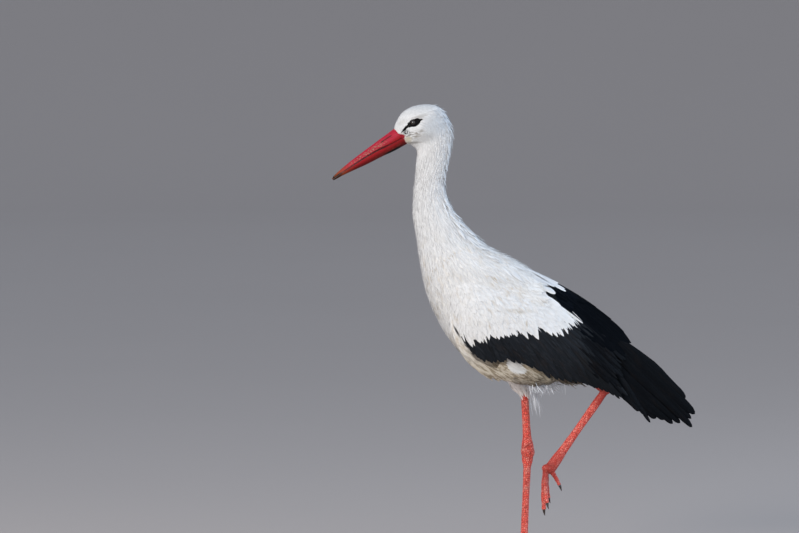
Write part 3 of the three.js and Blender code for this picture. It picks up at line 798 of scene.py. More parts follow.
# Barbs run out and forward from a feather's shaft, read from its own map in metres: their height,
# the shaft and the splits between them.
def barbsOf(spacing, slant, shaftWide):
    x, y, _ = splitXYZ(Signal(addNode("ShaderNodeUVMap", uv_map="vane"), "UV"))
    away = calc("ABSOLUTE", x)
    run = y - away * slant
    ridges = calc("SINE", run / spacing * 6.2832) * 0.5 + 0.5
    shaft = remap(away / shaftWide, 1.0, 0.3)
    seed = Signal(addNode("ShaderNodeCombineXYZ", {"X": run, "Y": attribute("shade")}))
    split = remap(noise(420.0, 1.0, 0.5, seed), 0.58, 0.70)
    return calc("MAXIMUM", ridges, shaft * 2.0) - split, shaft, split


# an oval with soft edges in the side view: 1 in its middle, 0 from its rim outwards
def softSpot(x, z, tilt, long, tall):
    awayX, _, awayZ = splitXYZ(objectPlace())
    awayX, awayZ = awayX - x, awayZ - z
    a = (awayX * math.cos(tilt) + awayZ * math.sin(tilt)) / long
    b = (awayZ * math.cos(tilt) - awayX * math.sin(tilt)) / tall
    return remap(calc("SQRT", a * a + b * b), 1.0, 0.2)


# Marks, each an oval [x, z, tilt, half length, half height, share, tone] broken up by a grain:
# "flow" and "streak" in fine streaks, "spots" in blotches, "plain" not at all, "outer" only on the
# wings. Some are the bird's own stains and colours, and some are painted shade and painted highlights.
faceMarksAndShade = [
    # painted bluish shade on the cheek and the rear of the head, and painted grey shade below the eye
    ("plain", -0.186, 0.927, 0.6, 0.058, 0.040, 0.62, (0.50, 0.555, 0.615)),
    ("plain", -0.216, 0.896, 0.2, 0.040, 0.017, 0.60, (0.46, 0.46, 0.46)),
    # painted shadows before the eye and under the brow, and painted bluish shade on the crown
    ("plain", -0.262, 0.931, 0.5, 0.014, 0.008, 0.30, (0.55, 0.52, 0.48)),
    ("plain", -0.226, 0.9420, 0.3, 0.026, 0.0065, 0.50, (0.36, 0.33, 0.30)),
    ("plain", -0.212, 0.968, 0.1, 0.062, 0.024, 0.55, (0.60, 0.63, 0.66)),
    ("flow", -0.234, 0.9045, 0.35, 0.034, 0.012, 0.85, (0.24, 0.20, 0.15)),
    ("plain", -0.2500, 0.8930, 0.4, 0.012, 0.012, 0.70, (0.70, 0.62, 0.44)),
    ("plain", -0.238, 0.8868, 0.08, 0.026, 0.0038, 0.62, (0.19, 0.17, 0.15)),
    ("spots", -0.2535, 0.9085, -0.5, 0.0150, 0.0110, 1.0, (0.020, 0.019, 0.019)),
    ("plain", -0.2335, 0.9180, 0.42, 0.023, 0.0046, 1.0, (0.93, 0.93, 0.92)),
]
# brown stains, darkened by painted shade in the folds, at the neck's base, the back and the wing, a stain
# at the breast's edge, painted beige shade on the wing's front edge, and the dark before the wing
bodyStainsAndShade = [
    ("streak", -0.166, 0.635, 0.65, 0.070, 0.011, 0.80, (0.55, 0.49, 0.41)),
    ("streak", -0.065, 0.596, -0.33, 0.032, 0.007, 0.85, (0.52, 0.41, 0.27)),
    ("streak", -0.033, 0.576, 0.0, 0.020, 0.005, 0.60, (0.57, 0.46, 0.32)),
    ("streak", -0.011, 0.529, -0.05, 0.050, 0.008, 0.60, (0.58, 0.52, 0.43)),
    ("streak", -0.075, 0.496, -1.40, 0.014, 0.004, 0.70, (0.52, 0.42, 0.30)),
    ("streak", 0.004, 0.503, 1.57, 0.013, 0.004, 0.70, (0.52, 0.44, 0.33)),
    ("streak", -0.205, 0.590, 1.45, 0.034, 0.013, 0.80, (0.54, 0.46, 0.36)),
    ("streak", -0.187, 0.527, 1.90, 0.034, 0.012, 0.70, (0.56, 0.49, 0.39)),
    ("outer", -0.1455, 0.4850, -1.07, 0.0200, 0.0034, 1.0, (0.012, 0.012, 0.013)),
]
# shadows between the long white scapulars
wingMarks = [
    ("plain", 0.050, 0.586, -0.50, 0.050, 0.017, 0.38, (0.46, 0.53, 0.63)),
    ("plain", 0.034, 0.5985, -0.53, 0.032, 0.0024, 0.85, (0.16, 0.15, 0.15)),
    ("plain", 0.050, 0.5790, -0.30, 0.015, 0.0018, 0.85, (0.05, 0.05, 0.05)),
]
# painted shade in the creases over the joints of the legs, and painted shade and a painted highlight in
# patches between them
legShadeAndHighlights = [
    ("plain", 0.0095, 0.2350, 0.63, 0.0150, 0.0019, 0.85, (0.16, 0.010, 0.006)),
    ("plain", 0.0140, 0.2185, 1.15, 0.0095, 0.0018, 0.85, (0.16, 0.010, 0.006)),
    ("plain", 0.0060, 0.2080, -0.35, 0.0110, 0.0016, 0.75, (0.16, 0.010, 0.006)),
    ("plain", -0.0010, 0.2245, 0.30, 0.0060, 0.0036, 0.60, (0.95, 0.36, 0.27)),
    ("plain", 0.0540, 0.1965, -0.15, 0.0140, 0.0020, 0.80, (0.16, 0.010, 0.006)),
    ("plain", 0.0470, 0.1800, 0.25, 0.0120, 0.0018, 0.75, (0.16, 0.010, 0.006)),
    ("plain", 0.0040, 0.2250, 0.30, 0.0240, 0.0200, 0.30, (0.30, 0.018, 0.010)),
    ("plain", 0.0560, 0.1780, 1.57, 0.0560, 0.0320, 0.75, (0.30, 0.018, 0.010)),
    ("plain", 0.1650, 0.3450, 0.97, 0.0360, 0.0300, 0.75, (0.30, 0.016, 0.009)),
    ("plain", 0.0740, 0.2160, 0.97, 0.0240, 0.0200, 0.40, (0.36, 0.020, 0.011)),
]


def marked(base, marks):
    grains = {
        "plain": 1.0,
        "flow": remap(leaning(-12, 560.0, 8.0), 0.44, 0.62),
        "spots": remap(noise(420.0, 1.0), 0.46, 0.54),
        "streak": remap(leaning(48, 260.0, 5.0), 0.40, 0.60, 0.35),
        "outer": remap(calc("ABSOLUTE", splitXYZ(objectPlace())[1]), 0.054, 0.062),
    }
    spots = [(softSpot(*oval) * grains[grain] * share, tone) for grain, *oval, share, tone in marks]
    return layered(base, *spots)


# White with cream stains in streaks. Low on the belly the feathers are cream to olive brown in
# long streaks, partly stains and partly painted shade of the underside, with a white patch on the
# flank, and each feather has its own tone.
def stainedAndShaded(white, amount=1.0, low=1.0):
    x, _, z = splitXYZ(objectPlace())
    streak = remap(leaning(62, 90.0, 3.0, 4.0), 0.48, 0.70)
    broad = remap(noise(12.0, 3.0), 0.40, 0.62)
    above = blend(streak * broad * remap(z, 0.76, 0.62) * 0.62 * amount, white, (0.60, 0.49, 0.35))
    belly = remap(x * -0.35 + z, 0.560, 0.425) * remap(x, 0.165, 0.125)
    # lowest down the olive browns are painted shade of the underside as well as stain
    olive = remap(x * -0.55 + z, 0.400, 0.352)
    grain = attribute("shade") * 0.035 + leaning(36, 300.0, 10.0)
    pale = blend(remap(grain, 0.45, 0.60), (0.56, 0.49, 0.39), (0.27, 0.215, 0.145))
    dark = blend(remap(grain, 0.40, 0.62), (0.34, 0.295, 0.22), (0.12, 0.095, 0.062))
    lobe = remap(grain * -1.4 + softSpot(-0.018, 0.408, -0.52, 0.042, 0.020), -0.30, 0.02)
    under = layered(pale, (olive, dark), (lobe * 0.85, (0.74, 0.74, 0.73)))
    return blend(belly * low, above, under)


def whitePlumage(name, make):
    material = newMaterial(name)
    height, _, split = barbsOf(make["barb"], 1.5, make["shaft"])
    base = stainedAndShaded(make["white"], make["stain"], make["low"])
    if name in marksOf:
        base = marked(base, marksOf[name])
    shade = remap(attribute("shade"), -2.5, 2.5, make["vary"], 1.0, "LINEAR")
    grey = Signal(addNode("ShaderNodeCombineColor", {0: shade, 1: shade, 2: shade}))
    # the splits between barbs are painted darker: painted shade in the gaps
    base = blend(split * make["split"], blend(1.0, base, grey, "MULTIPLY"), (0.50, 0.47, 0.43))
    return shaded(material, base, 0.78, height, make["relief"], shine=0.25, sheen=0.12)


# Black with a cold cast, a little browner where it is worn, with painted sheen in fine bluish
# streaks, and darker towards the rear.
def blackPlumage(name, make):
    material = newMaterial(name)
    height, shaft, _ = barbsOf(0.0009, 1.1, 0.0006)
    base = layered(
        blend(remap(attribute("shade"), -2.2, 2.2, kind="LINEAR"), make["dark"], make["light"]),
        (remap(leaning(44, 130.0, 7.0), 0.50, 0.66) * make["dull"], (0.024, 0.016, 0.012)),
        # fine pale bluish streaks: painted sheen
        (remap(leaning(46, 300.0, 9.0), 0.50, 0.72) * make["streak"], (0.030, 0.034, 0.041)),
        (shaft * 0.30, (0.026, 0.028, 0.033)),
        (remap(splitXYZ(objectPlace())[0], 0.05, 0.19) * 0.7, (0.0020, 0.0027, 0.0038)),
    )
    return shaded(material, base, 0.50, height, make["relief"], shine=make["shine"])


# The skin under the coat has the coat's markings and its painted shade: white, black under the black
# feathers, bare black about the eye and red at the corner of the mouth.
def skinMaterial():
    material = newMaterial("skin")
    base = layered(
        marked(stainedAndShaded((0.74, 0.72, 0.69)), faceMarksAndShade + bodyStainsAndShade),
        (attribute("black"), (0.004, 0.005, 0.006)),
        (attribute("gape"), (0.30, 0.016, 0.026)),
        (attribute("bare"), (0.006, 0.006, 0.007)),
    )
    return shaded(material, base, 0.7, noise(900.0, 2.0), 0.0004, shine=0.1)


marksOf = {"whiteHead": faceMarksAndShade, "whiteBody": bodyStainsAndShade, "whiteWing": bodyStainsAndShade + wingMarks}
fine = {
    "barb": 0.0004, "shaft": 0.0002, "relief": 0.000012, "vary": 0.88, "split": 0.0, "stain": 0.0, "low": 0.0,
}
broad = {"barb": 0.0007, "shaft": 0.0003, "relief": 0.00003, "vary": 0.84, "split": 0.10, "low": 0.0}
whites = {
    "head": {**fine, "stain": 0.6, "vary": 0.78, "split": 0.05, "white": (0.875, 0.875, 0.872)},
    "body": {**broad, "stain": 1.0, "low": 1.0, "white": (0.90, 0.892, 0.872)},
    # the down's blue tint is painted skylight
    "down": {**fine, "white": (0.90, 0.93, 0.97)},
    "funnel": {**fine, "white": (0.97, 0.90, 0.86)},
    "wing": {**broad, "stain": 0.65, "white": (0.875, 0.873, 0.868)},
}
# each kind's "streak" is the share of its painted sheen
blacks = {
    "flight": {
        "relief": 0.00005, "dull": 0.30, "streak": 0.5, "shine": 0.10,
        "dark": (0.0052, 0.0066, 0.0086), "light": (0.0120, 0.0150, 0.0200),
    },
    "tertial": {
        "relief": 0.00004, "dull": 0.05, "streak": 0.16, "shine": 0.01,
        "dark": (0.0011, 0.0020, 0.0034), "light": (0.0024, 0.0040, 0.0072),
    },
    "primary": {
        "relief": 0.00005, "dull": 0.35, "streak": 0.2, "shine": 0.04,
        "dark": (0.0016, 0.0024, 0.0038), "light": (0.0040, 0.0052, 0.0080),
    },
}
white, black = {}, {}
for key, make in whites.items():
    white[key] = (whitePlumage("white" + key.capitalize(), make), "white_plumage")
for key, make in blacks.items():
    black[key] = (blackPlumage("black" + key.capitalize(), make), "black_plumage")
finishPiece(skin, (skinMaterial(), "white_plumage"), (
    "head", "neck_upper", "neck_lower", "trunk", "thigh_left", "thigh_right",
    "wing_left_coverts", "wing_right_coverts",
))
print("stage: materials")

# Each tract: the stretch of the body it covers, then pairs of (station, value in millimetres)
# for the gaps between roots, and for the feathers' length and width.
tracts = {
    "coatHead": {
        "reach": (0.06, 5.1), "shape": "speck", "finish": "head", "thick": 0.12, "stray": 5,
        "gapAlong": [(0, 1.9), (2, 2.4), (4, 3.2), (5.2, 3.7)],
        "gapAcross": [(0, 1.2), (2, 1.6), (4, 1.9), (5.2, 2.1)],
        "length": [(0, 5), (1, 7), (2, 11), (4, 16), (5.2, 19)],
        "width": [(0, 1.9), (2, 2.9), (4, 3.5), (5.2, 3.8)],
        "over": (0.0, 0.6), "root": 0.4, "rounded": 0.62,
    },
    "coatNeck": {
        "reach": (4.7, 8.8), "shape": "lance", "finish": "head", "thick": 0.16, "stray": 5,
        "gapAlong": [(5, 3.8), (7, 5.0), (8.6, 6.2)], "gapAcross": [(5, 1.7), (7, 2.2), (8.6, 2.9)],
        "length": [(4.7, 17), (6, 24), (7, 30), (8.6, 38)],
        "width": [(4.7, 3.4), (6, 4.4), (7, 5.2), (8.6, 7)],
        "over": (0.0, 1.2), "root": 0.4, "rounded": 0.7,
    },
    "coatTrunk": {
        "reach": (8.2, 15.8), "shape": "frond", "finish": "body", "thick": 0.26, "stray": 6,
        "gapAlong": [(8.2, 6.4), (10, 8), (16, 8)], "gapAcross": [(8.2, 3.8), (10, 5), (16, 5.2)],
        "length": [(8.2, 38), (10, 46), (13, 48), (16, 42)],
        "width": [(8.2, 9), (10, 13), (12, 15), (16, 13)],
        "over": (0.0, 1.4), "root": 0.3, "rounded": 0.48,
    },
    "strandsNeck": {
        "reach": (3.6, 10.4), "shape": "wisp", "finish": "head", "thick": 0.2, "stray": 8,
        "gapAlong": [(3, 6), (6, 6), (10.4, 7)], "gapAcross": [(3, 2.6), (6, 2.6), (10.4, 3)],
        "length": [(3, 12), (4.5, 18), (6, 24), (8, 34), (10.4, 40)],
        "width": [(3, 1.6), (6, 2.2), (10.4, 3.6)],
        "over": (0.3, 2.4), "root": 0.7, "rounded": 0.8,
    },
    "strandsTrunk": {
        "reach": (9.6, 15.6), "shape": "wisp", "finish": "body", "thick": 0.22, "stray": 11,
        "gapAlong": [(9, 9)], "gapAcross": [(9, 4.4)], "length": [(9, 38)], "width": [(9, 3.4)],
        "over": (0.3, 2.4), "root": 0.7, "rounded": 0.5,
    },
    "plumesNape": {
        "reach": (2.4, 9.9), "arc": 44, "shape": "lance", "finish": "head", "thick": 0.24, "stray": 7,
        "gapAlong": [(2, 5), (6, 7), (8, 9), (10, 12)], "gapAcross": [(2, 3.4), (8, 4.4), (10, 5.5)],
        "length": [(2, 14), (5, 26), (8, 46), (10, 50)], "width": [(2, 3.2), (5, 5), (8, 8), (10, 9)],
        "over": (0.4, 8.0), "loose": 3.0, "root": 0.8, "climb": 2.4, "rounded": 0.5,
    },
    "plumesThroat": {
        "reach": (4.1, 6.6), "arc": 60, "middle": 180, "shape": "wisp", "finish": "head", "thick": 0.2,
        "stray": 12, "gapAlong": [(4, 6)], "gapAcross": [(4, 4)], "length": [(4, 16), (6.6, 24)],
        "width": [(4, 2.2)], "over": (0.3, 4.5), "root": 0.8, "climb": 2.2, "rounded": 0.4,
    },
}


# False for roots on the body that the folded wing hides, on the rump, or whose feather would lie
# over the bare skin of the face
def onCoat(root, tip):
    (x, y, z), half = root.T, (root + tip) / 2
    hidden = (wingOut(x, z) - np.abs(y) > 0.006) & (wingRim(x, z) > 0.022)
    bare = np.minimum.reduce([bareDistance(p[:, 0], p[:, 2]) for p in (root, half, tip)]) < 0.0002
    red = np.minimum(gapeDistance(x, z), gapeDistance(half[:, 0], half[:, 2])) < 0.0006
    rump = (tip[:, 0] > chance.normal(0.046, 0.005, len(x))) & (z > 0.48)
    return ~((bare | red) & (np.abs(y) > 0.006) & (x < -0.2)) & ~hidden & ~rump


def coatTract(name, make):
    def density(t, angle):
        return perArea(along(make["gapAlong"], t) * along(make["gapAcross"], t))

    arc, middle = math.radians(make.get("arc", 180)), math.radians(make.get("middle", 0))
    u, v = spreadRoots(bodyPlace, make["reach"], (middle - arc, middle + arc), density)
    length = along(make["length"], u) * mm * varied(0.10, len(u))
    width = along(make["width"], u) * mm * varied(0.12, len(u))
    root, ahead, _, _ = frameAt(bodyPlace, u, v, 1)
    keep = onCoat(root, root + unit(ahead) * length[:, None])
    u, v, length, width = kept(keep, u, v, length, width)
    coat = through(bodyRibs[:, 6:], u)[:, 0] * mm
    over = mix(*make["over"], chance.uniform(0, 1, len(u)) ** make.get("loose", 1.0)) * mm
    layVanes(name, bodyPlace, u, v, {
        **make, "length": length, "width": width, "thick": make["thick"] * mm,
        "lift": (make["root"] * coat, coat + over),
    }, white[make["finish"]])


for name, make in tracts.items():
    coatTract(name, make)
print("stage: coat of head, neck and trunk")

wings = {"left": -1, "right": 1}
# degrees below level that the wing's feathers run, at stations along it, low and high on it
wingRun = {
    "low": [(-0.4, 56), (1, 60), (3, 60), (5, 53), (6.5, 46), (9, 41)], "high": 36, "blend": (0.50, 0.95),
}


# the way in the side view that runs so many degrees below level towards the tail
def sideWay(degrees):
    down = np.radians(degrees)
    return np.stack((np.cos(down), 0 * down, -np.sin(down)), -1)


def wingHeading(x, z):
    t, rise, _ = wingStation(x, z)
    return sideWay(mix(along(wingRun["low"], t), wingRun["high"], ease(rise, *wingRun["blend"])))


# the tip of a feather that starts at a point of the wing
def wingTip(side, x, z, heading, length):
    p, _, _, n = frameAt(wingPlace(side), x, z, -side)
    return p + flattened(heading, n) * length[:, None]


# roots from which feathers of these lengths end at these tips: each pass starts them again from
# the way they run there
def wingRoots(side, tipX, tipZ, heading, length):
    way = heading
    for _ in range(5):
        x, z = tipX - way[:, 0] * length, tipZ - way[:, 2] * length
        way = flattened(heading, frameAt(wingPlace(side), x, z, -side)[3])
    return x, z


# roots and headings spread over the wing's face between these stations and heights
def wingSpread(side, box, stations, rises, gap):
    def density(x, z):
        t, rise, _ = wingStation(x, z)
        on = (rise > rises[0]) & (rise < rises[1]) & (t > stations[0]) & (t < stations[1])
        return on * perArea(gap[0] * gap[1])

    x, z = spreadRoots(wingPlace(side), *box, density)
    return x, z, wingHeading(x, z)


# the feathers that start and end on the wing's white
def onWhite(side, x, z, heading, length, *more):
    tip = wingTip(side, x, z, heading, length)
    keep = inside(whiteWing, tip[:, 0] / mm, tip[:, 2] / mm) & inside(whiteWing, x / mm, z / mm)
    return kept(keep, x, z, heading, length, *more)


def wingVanes(name, side, x, z, heading, finish, make):
    layVanes(name, wingPlace(side, make.get("tuck", 0.0)), x, z, make, finish, -side, heading)


whiteBox = (-0.175, 0.14), (0.42, 0.66)


def whiteCoverts(side, word):
    x, z, heading = wingSpread(side, whiteBox, (-0.1, 7), (0, 1), (6.4, 4.6))
    rise = wingStation(x, z)[1]
    length = along([(0, 44), (0.35, 42), (0.7, 36), (1, 32)], rise) * mm * varied(0.12, len(x))
    width = along([(0, 13), (0.5, 12), (1, 11)], rise) * mm * varied(0.12, len(x))
    x, z, heading, length, width = onWhite(side, x, z, heading, length, width)
    wingVanes("coverts_" + word, side, x, z, heading, white["wing"], {
        "shape": "frond", "length": length, "width": width, "thick": 0.32 * mm,
        "lift": (-0.0014, 0.0010 + chance.uniform(-0.5, 0.8, len(x)) * mm), "stray": 8, "sway": 0.06,
        "rounded": 0.5,
    })


# Narrow strands over the white of the wing. Those near its lower edge run on over the black.
def covertStrands(side, word):
    x, z, heading = wingSpread(side, whiteBox, (0.1, 7), (0, 1), (9.0, 4.2))
    length = chance.uniform(24, 38, len(x)) * mm
    x, z, heading, length = onWhite(side, x, z, heading, length)
    wingVanes("strandsWing_" + word, side, x, z, heading, white["wing"], {
        "shape": "wisp", "length": length, "width": chance.uniform(2.0, 3.4, len(x)) * mm, "thick": 0.24 * mm,
        "lift": (-0.0002, chance.uniform(0.7, 2.0, len(x)) * mm), "stray": 11, "sway": 0.10, "rounded": 0.5,
    })


# tips of the pointed white feathers that end the white over the black [x, z], with width
fringe = [
    (-138, 482, 7), (-127, 461, 9), (-111, 451, 15), (-95, 460, 14), (-87, 461, 8), (-80, 460, 5),
    (-72, 469, 11), (-62, 470, 15), (-53, 469, 12), (-44, 472, 15), (-33, 473, 14), (-17, 474, 12),
    (-9, 481, 6), (6, 468, 11), (13, 480, 5), (21, 476, 7), (28, 467, 14), (46, 483, 10),
    (59, 475, 13), (70, 472, 10), (83, 473, 11), (97, 480, 10), (105, 494, 3), (113, 489, 3), (119, 496, 2.6),
]


# each of them with two narrower ones beside it
def fringeFeathers(side, word):
    tipX, tipZ, width = np.repeat(np.array(fringe, float), 3, 0).T
    count, spare = len(tipX), np.tile((0.0, 1.0, 1.0), len(fringe))
    down = along([(-140, 58), (-100, 62), (-60, 70), (60, 66), (120, 52)], tipX)
    tipX = (tipX + spare * chance.normal(0, 3.4, count)) * mm
    tipZ = (tipZ + spare * chance.uniform(2, 9, count)) * mm
    heading = sideWay(down + chance.normal(0, 5, count))
    length = chance.uniform(30, 40, count) * mm
    roots = wingRoots(side, tipX, tipZ, heading, length)
    wingVanes("fringe_" + word, side, *roots, heading, white["wing"], {
        "shape": "lance", "columns": 5, "length": length, "width": width * mm * (1 - 0.5 * spare),
        "thick": 0.4 * mm,
        "lift": (-0.0006, chance.uniform(1.0, 2.2, count) * mm), "stray": 0.5, "sway": 0.05, "rounded": 0.4,
    })


# breast feathers that run along the wing's front edge and a little way over it
def flankFeathers(side, word, count=480):
    t = chance.uniform(0.0, 3.3, count)
    rise = -0.027 - 0.058 * chance.uniform(0, 1, count) ** 0.8
    topX, topZ, _, footX, footZ, _, _ = through(wingRibs, t).T
    down = along([(-0.4, 74), (0.6, 70), (1.3, 64), (2, 52), (2.6, 38), (3.4, 24)], t)
    heading = sideWay(down + chance.normal(0, 3, count))
    length = chance.uniform(34, 58, count) * mm
    over = chance.uniform(0.0003, 0.0015, count)
    x, z = mix(footX, topX, rise) * mm, mix(footZ, topZ, rise) * mm
    wingVanes("flank_" + word, side, x, z, heading, white["body"], {
        "shape": "lance", "length": length, "width": chance.uniform(3.5, 7.5, count) * mm, "thick": 0.28 * mm,
        "lift": (over - 0.001, over), "stray": 3, "sway": 0.03, "curve": 0.06 * side, "rounded": 0.2,
        "tuck": 1.0,
    })


# tips of the long white scapulars [x, z] that lie over the black, with length, width, lift of the
# tip and degrees below level
scapulars = [
    (-10, 596, 60, 20, 0.8, 36), (14, 590, 62, 20, 0.9, 36), (34, 582, 64, 16, 1.0, 35),
    (28, 566, 62, 20, 1.0, 37),
    (44, 557, 62, 15, 1.1, 37), (58, 546, 68, 14, 1.2, 38), (75, 533, 76, 13, 1.3, 39),
    (91, 519, 86, 12, 1.4, 40),
    (107, 507, 94, 9, 1.5, 40), (125, 500, 108, 6, 1.7, 39),
    (52, 571, 62, 15, 1.2, 34), (66.5, 563.5, 66, 17, 1.5, 33), (65, 577, 76, 11, 1.9, 34),
    (40, 600, 64, 16, 1.2, 28), (58, 592, 70, 14, 1.4, 28), (72, 584, 76, 12, 1.6, 29),
    (86, 571, 84, 9, 2.3, 31),
    (89, 573, 88, 7, 1.8, 29),
]


def longWhites(side, word):
    table = np.array(scapulars)
    tipX, tipZ, length, width, lift = table[:, :5].T * mm
    heading = sideWay(table[:, 5])
    roots = wingRoots(side, tipX, tipZ, heading, length)
    wingVanes("scapulars_" + word, side, *roots, heading, white["wing"], {
        "shape": "blade", "columns": 5, "length": length, "width": width, "thick": 0.5 * mm,
        "lift": (-0.0004, lift), "stray": 1, "sway": 0.02, "roll": 0.02, "ragged": 0.02, "rounded": 0.45,
    })


# The black flight feathers end along this line, from the wing's bend to its rear edge.
flightEdge = np.array([
    (-148, 488), (-134, 468), (-121, 454), (-103, 433), (-90, 425), (-68, 420), (-45, 419), (-37, 426),
    (-24, 424),
    (0, 418), (17, 410), (35, 403), (52, 398), (79, 386), (106, 381), (142, 372), (160, 366), (190, 357),
    (222, 345),
]) * mm


def wingBlacks(side, word, count=84):
    x, z = flightEdge.T
    reach = np.concatenate(([0], np.cumsum(np.hypot(np.diff(x), np.diff(z)))))
    share = np.linspace(0, 1, count)
    tipX = np.interp(share * reach[-1], reach, x) + chance.normal(0, 1.2 * mm, count)
    tipZ = np.interp(share * reach[-1], reach, z) + chance.normal(0, 1.2 * mm, count)
    lengths = [(0, 12), (0.06, 34), (0.12, 52), (0.25, 70), (0.4, 110), (0.6, 160), (1, 178)]
    length = along(lengths, share) * mm
    heading = wingHeading(tipX, tipZ + 0.03)
    middle = wingHeading(tipX - heading[:, 0] * length / 2, tipZ - heading[:, 2] * length / 2)
    roots = wingRoots(side, tipX, tipZ, middle, length)
    wingVanes("secondaries_" + word, side, *roots, middle, black["flight"], {
        "shape": "blade", "columns": 5, "length": length, "thick": 0.7 * mm, "lift": (-0.0018, -0.0002),
        "width": along([(0, 4), (0.08, 8), (0.3, 15), (0.6, 18), (0.75, 17), (1, 13)], share) * mm,
        "stray": 1.2, "sway": 0.01, "curve": -0.03 * side, "roll": 0.015, "tip": 0.03 * side, "ragged": 0.03,
        "rounded": 0.25, "replaces": (f"wing_{word}_secondaries",),
    })


# long narrow black feathers over the flight feathers, below the tertials, whose tips lie between
# these ends
def blackCoverts(name, side, ends, finish):
    x, z, heading = wingSpread(side, ((-0.175, 0.235), (0.36, 0.6)), (1.3, 7.4), (0.1, 0.95), (17, 6))
    t = wingStation(x, z)[0]
    length = along([(0, 30), (2, 52), (4, 90), (7, 120)], t) * mm * varied(0.14, len(x))
    tipX, _, tipZ = wingTip(side, x, z, heading, length).T
    keep = ~inside(whiteWing, tipX / mm, tipZ / mm) & (wingStation(tipX, tipZ)[1] > 0.09)
    keep &= (tipX > ends[0]) & (tipX < ends[1]) & (tipZ < 0.501 - 0.68 * (tipX - 0.125))
    x, z, heading, length = kept(keep, x, z, heading, length)
    wingVanes(name, side, x, z, heading, finish, {
        "shape": "blade", "length": length, "width": 0.04 * length + 5 * mm, "thick": 0.4 * mm,
        "lift": (-0.0008, chance.uniform(-0.1, 0.7, len(x)) * mm), "stray": 2.4, "sway": 0.03,
        "rounded": 0.42,
    })


# tips of the tertials [x, z] with length and width, from the top edge down
tertials = np.array([
    (98, 556, 72, 24), (92, 545, 62, 20), (112, 545, 84, 26), (104, 530, 72, 22), (128, 534, 96, 28),
    (150, 524, 120, 30), (184, 500, 140, 32), (217, 480, 162, 34), (236, 463, 180, 36), (244, 449, 190, 36),
    (229, 444, 184, 36), (214, 442, 176, 36), (196, 445, 166, 34), (176, 452, 156, 32), (156, 462, 146, 30),
    (136, 474, 130, 28), (118, 486, 112, 26), (112, 500, 96, 20),
]) * mm


def makeTertials(side, word):
    tipX, tipZ, length, width = tertials.T
    count = len(tipX)
    heading = sideWay(np.linspace(34, 37, count))
    x, z = tipX - heading[:, 0] * length, tipZ - heading[:, 2] * length
    wingVanes("tertials_" + word, side, x, z, heading, black["tertial"], {
        "shape": "blade", "columns": 5, "length": length, "width": width, "thick": 0.8 * mm,
        "lift": (-0.0010, np.linspace(0.0012, 0.0002, count)), "stray": 0.4, "sway": 0.005,
        "curve": -0.03 * side,
        "roll": 0.01, "tip": 0.03 * side, "ragged": 0.015, "rounded": 0.3,
        "replaces": (f"wing_{word}_tertials",),
    })


# Long feathers in the air, rooted at one end: a centre line that sags a little by its own share,
# and a blade that is widest along `across` and faces `out`.
def longFeathers(name, root, tip, across, width, make, finish):
    stations, widthShares = featherOutline(make["shape"])
    run = tip - root
    length, way = np.linalg.norm(run, axis=1), unit(run)
    normal = np.cross(way, flattened(across, way))
    normal = normal * np.sign(dot(normal, make["out"]))[:, None]
    wide = np.cross(way, normal)
    widths = width[:, None] / 2 * widthShares
    widths = widths * (1 + chance.normal(0, make["ragged"], widths.shape))
    shares = np.linspace(-1, 1, 5)
    sag = (stations * (1 - stations) * 4)[None, :, None, None] * make["sag"] * length[:, None, None, None]
    centre = (root[:, None] + run[:, None] * stations[None, :, None])[:, :, None]
    points = centre + wide[:, None, None] * (shares * widths[:, :, None])[..., None]
    arch = (shares**2 * widths[:, :, None] * 0.16)[..., None]
    points = points - normal[:, None, None] * arch - (0, 0, 1) * sag
    normals = np.broadcast_to(normal[:, None, None], points.shape)
    piece = vaneMesh(name, points, normals, widths, stations, length, make["thick"] * mm, root, 0.3)
    finishPiece(piece, finish, make["replaces"])


# root x and z, tip x and z, out at root and tip, and breadth of the longest feathers
primaries = np.array([
    (205, 461, 348, 338, 29, 8, 28), (201, 459, 368, 303, 31, 9, 32), (197, 454, 360, 293, 33, 11, 24),
    (193, 447, 362, 275, 36, 13, 26), (188, 438, 350, 290, 38, 15, 20), (181, 426, 336, 284, 41, 17, 26),
    (174, 414, 320, 283, 44, 20, 26), (168, 405, 302, 292, 46, 23, 28), (166, 398, 284, 295, 47, 26, 28),
    (192, 404, 271, 286, 48, 30, 15), (184, 394, 262, 301, 49, 34, 18), (178, 388, 246, 311, 50, 40, 18),
    (196, 444, 300, 345, 35, 20, 34), (186, 424, 280, 325, 41, 26, 34),
]) * mm


def makePrimaries(side, word):
    rootX, rootZ, tipX, tipZ, outRoot, outTip, breadth = primaries.T
    root, tip = np.stack((rootX, side * outRoot, rootZ), 1), np.stack((tipX, side * outTip, tipZ), 1)
    longFeathers("primaries_" + word, root, tip, np.array([(0, side * -0.22, 1.0)]), breadth, {
        "shape": "finger", "out": (0, side, 0.22), "sag": -0.012, "thick": 1.2, "ragged": 0.04,
        "replaces": (f"wing_{word}_primaries",),
    }, black["primary"])


tail = {"pairs": 6, "root": (200, 386), "tip": (332, 312), "spread": 1.5, "stack": 2.2, "breadth": 20}


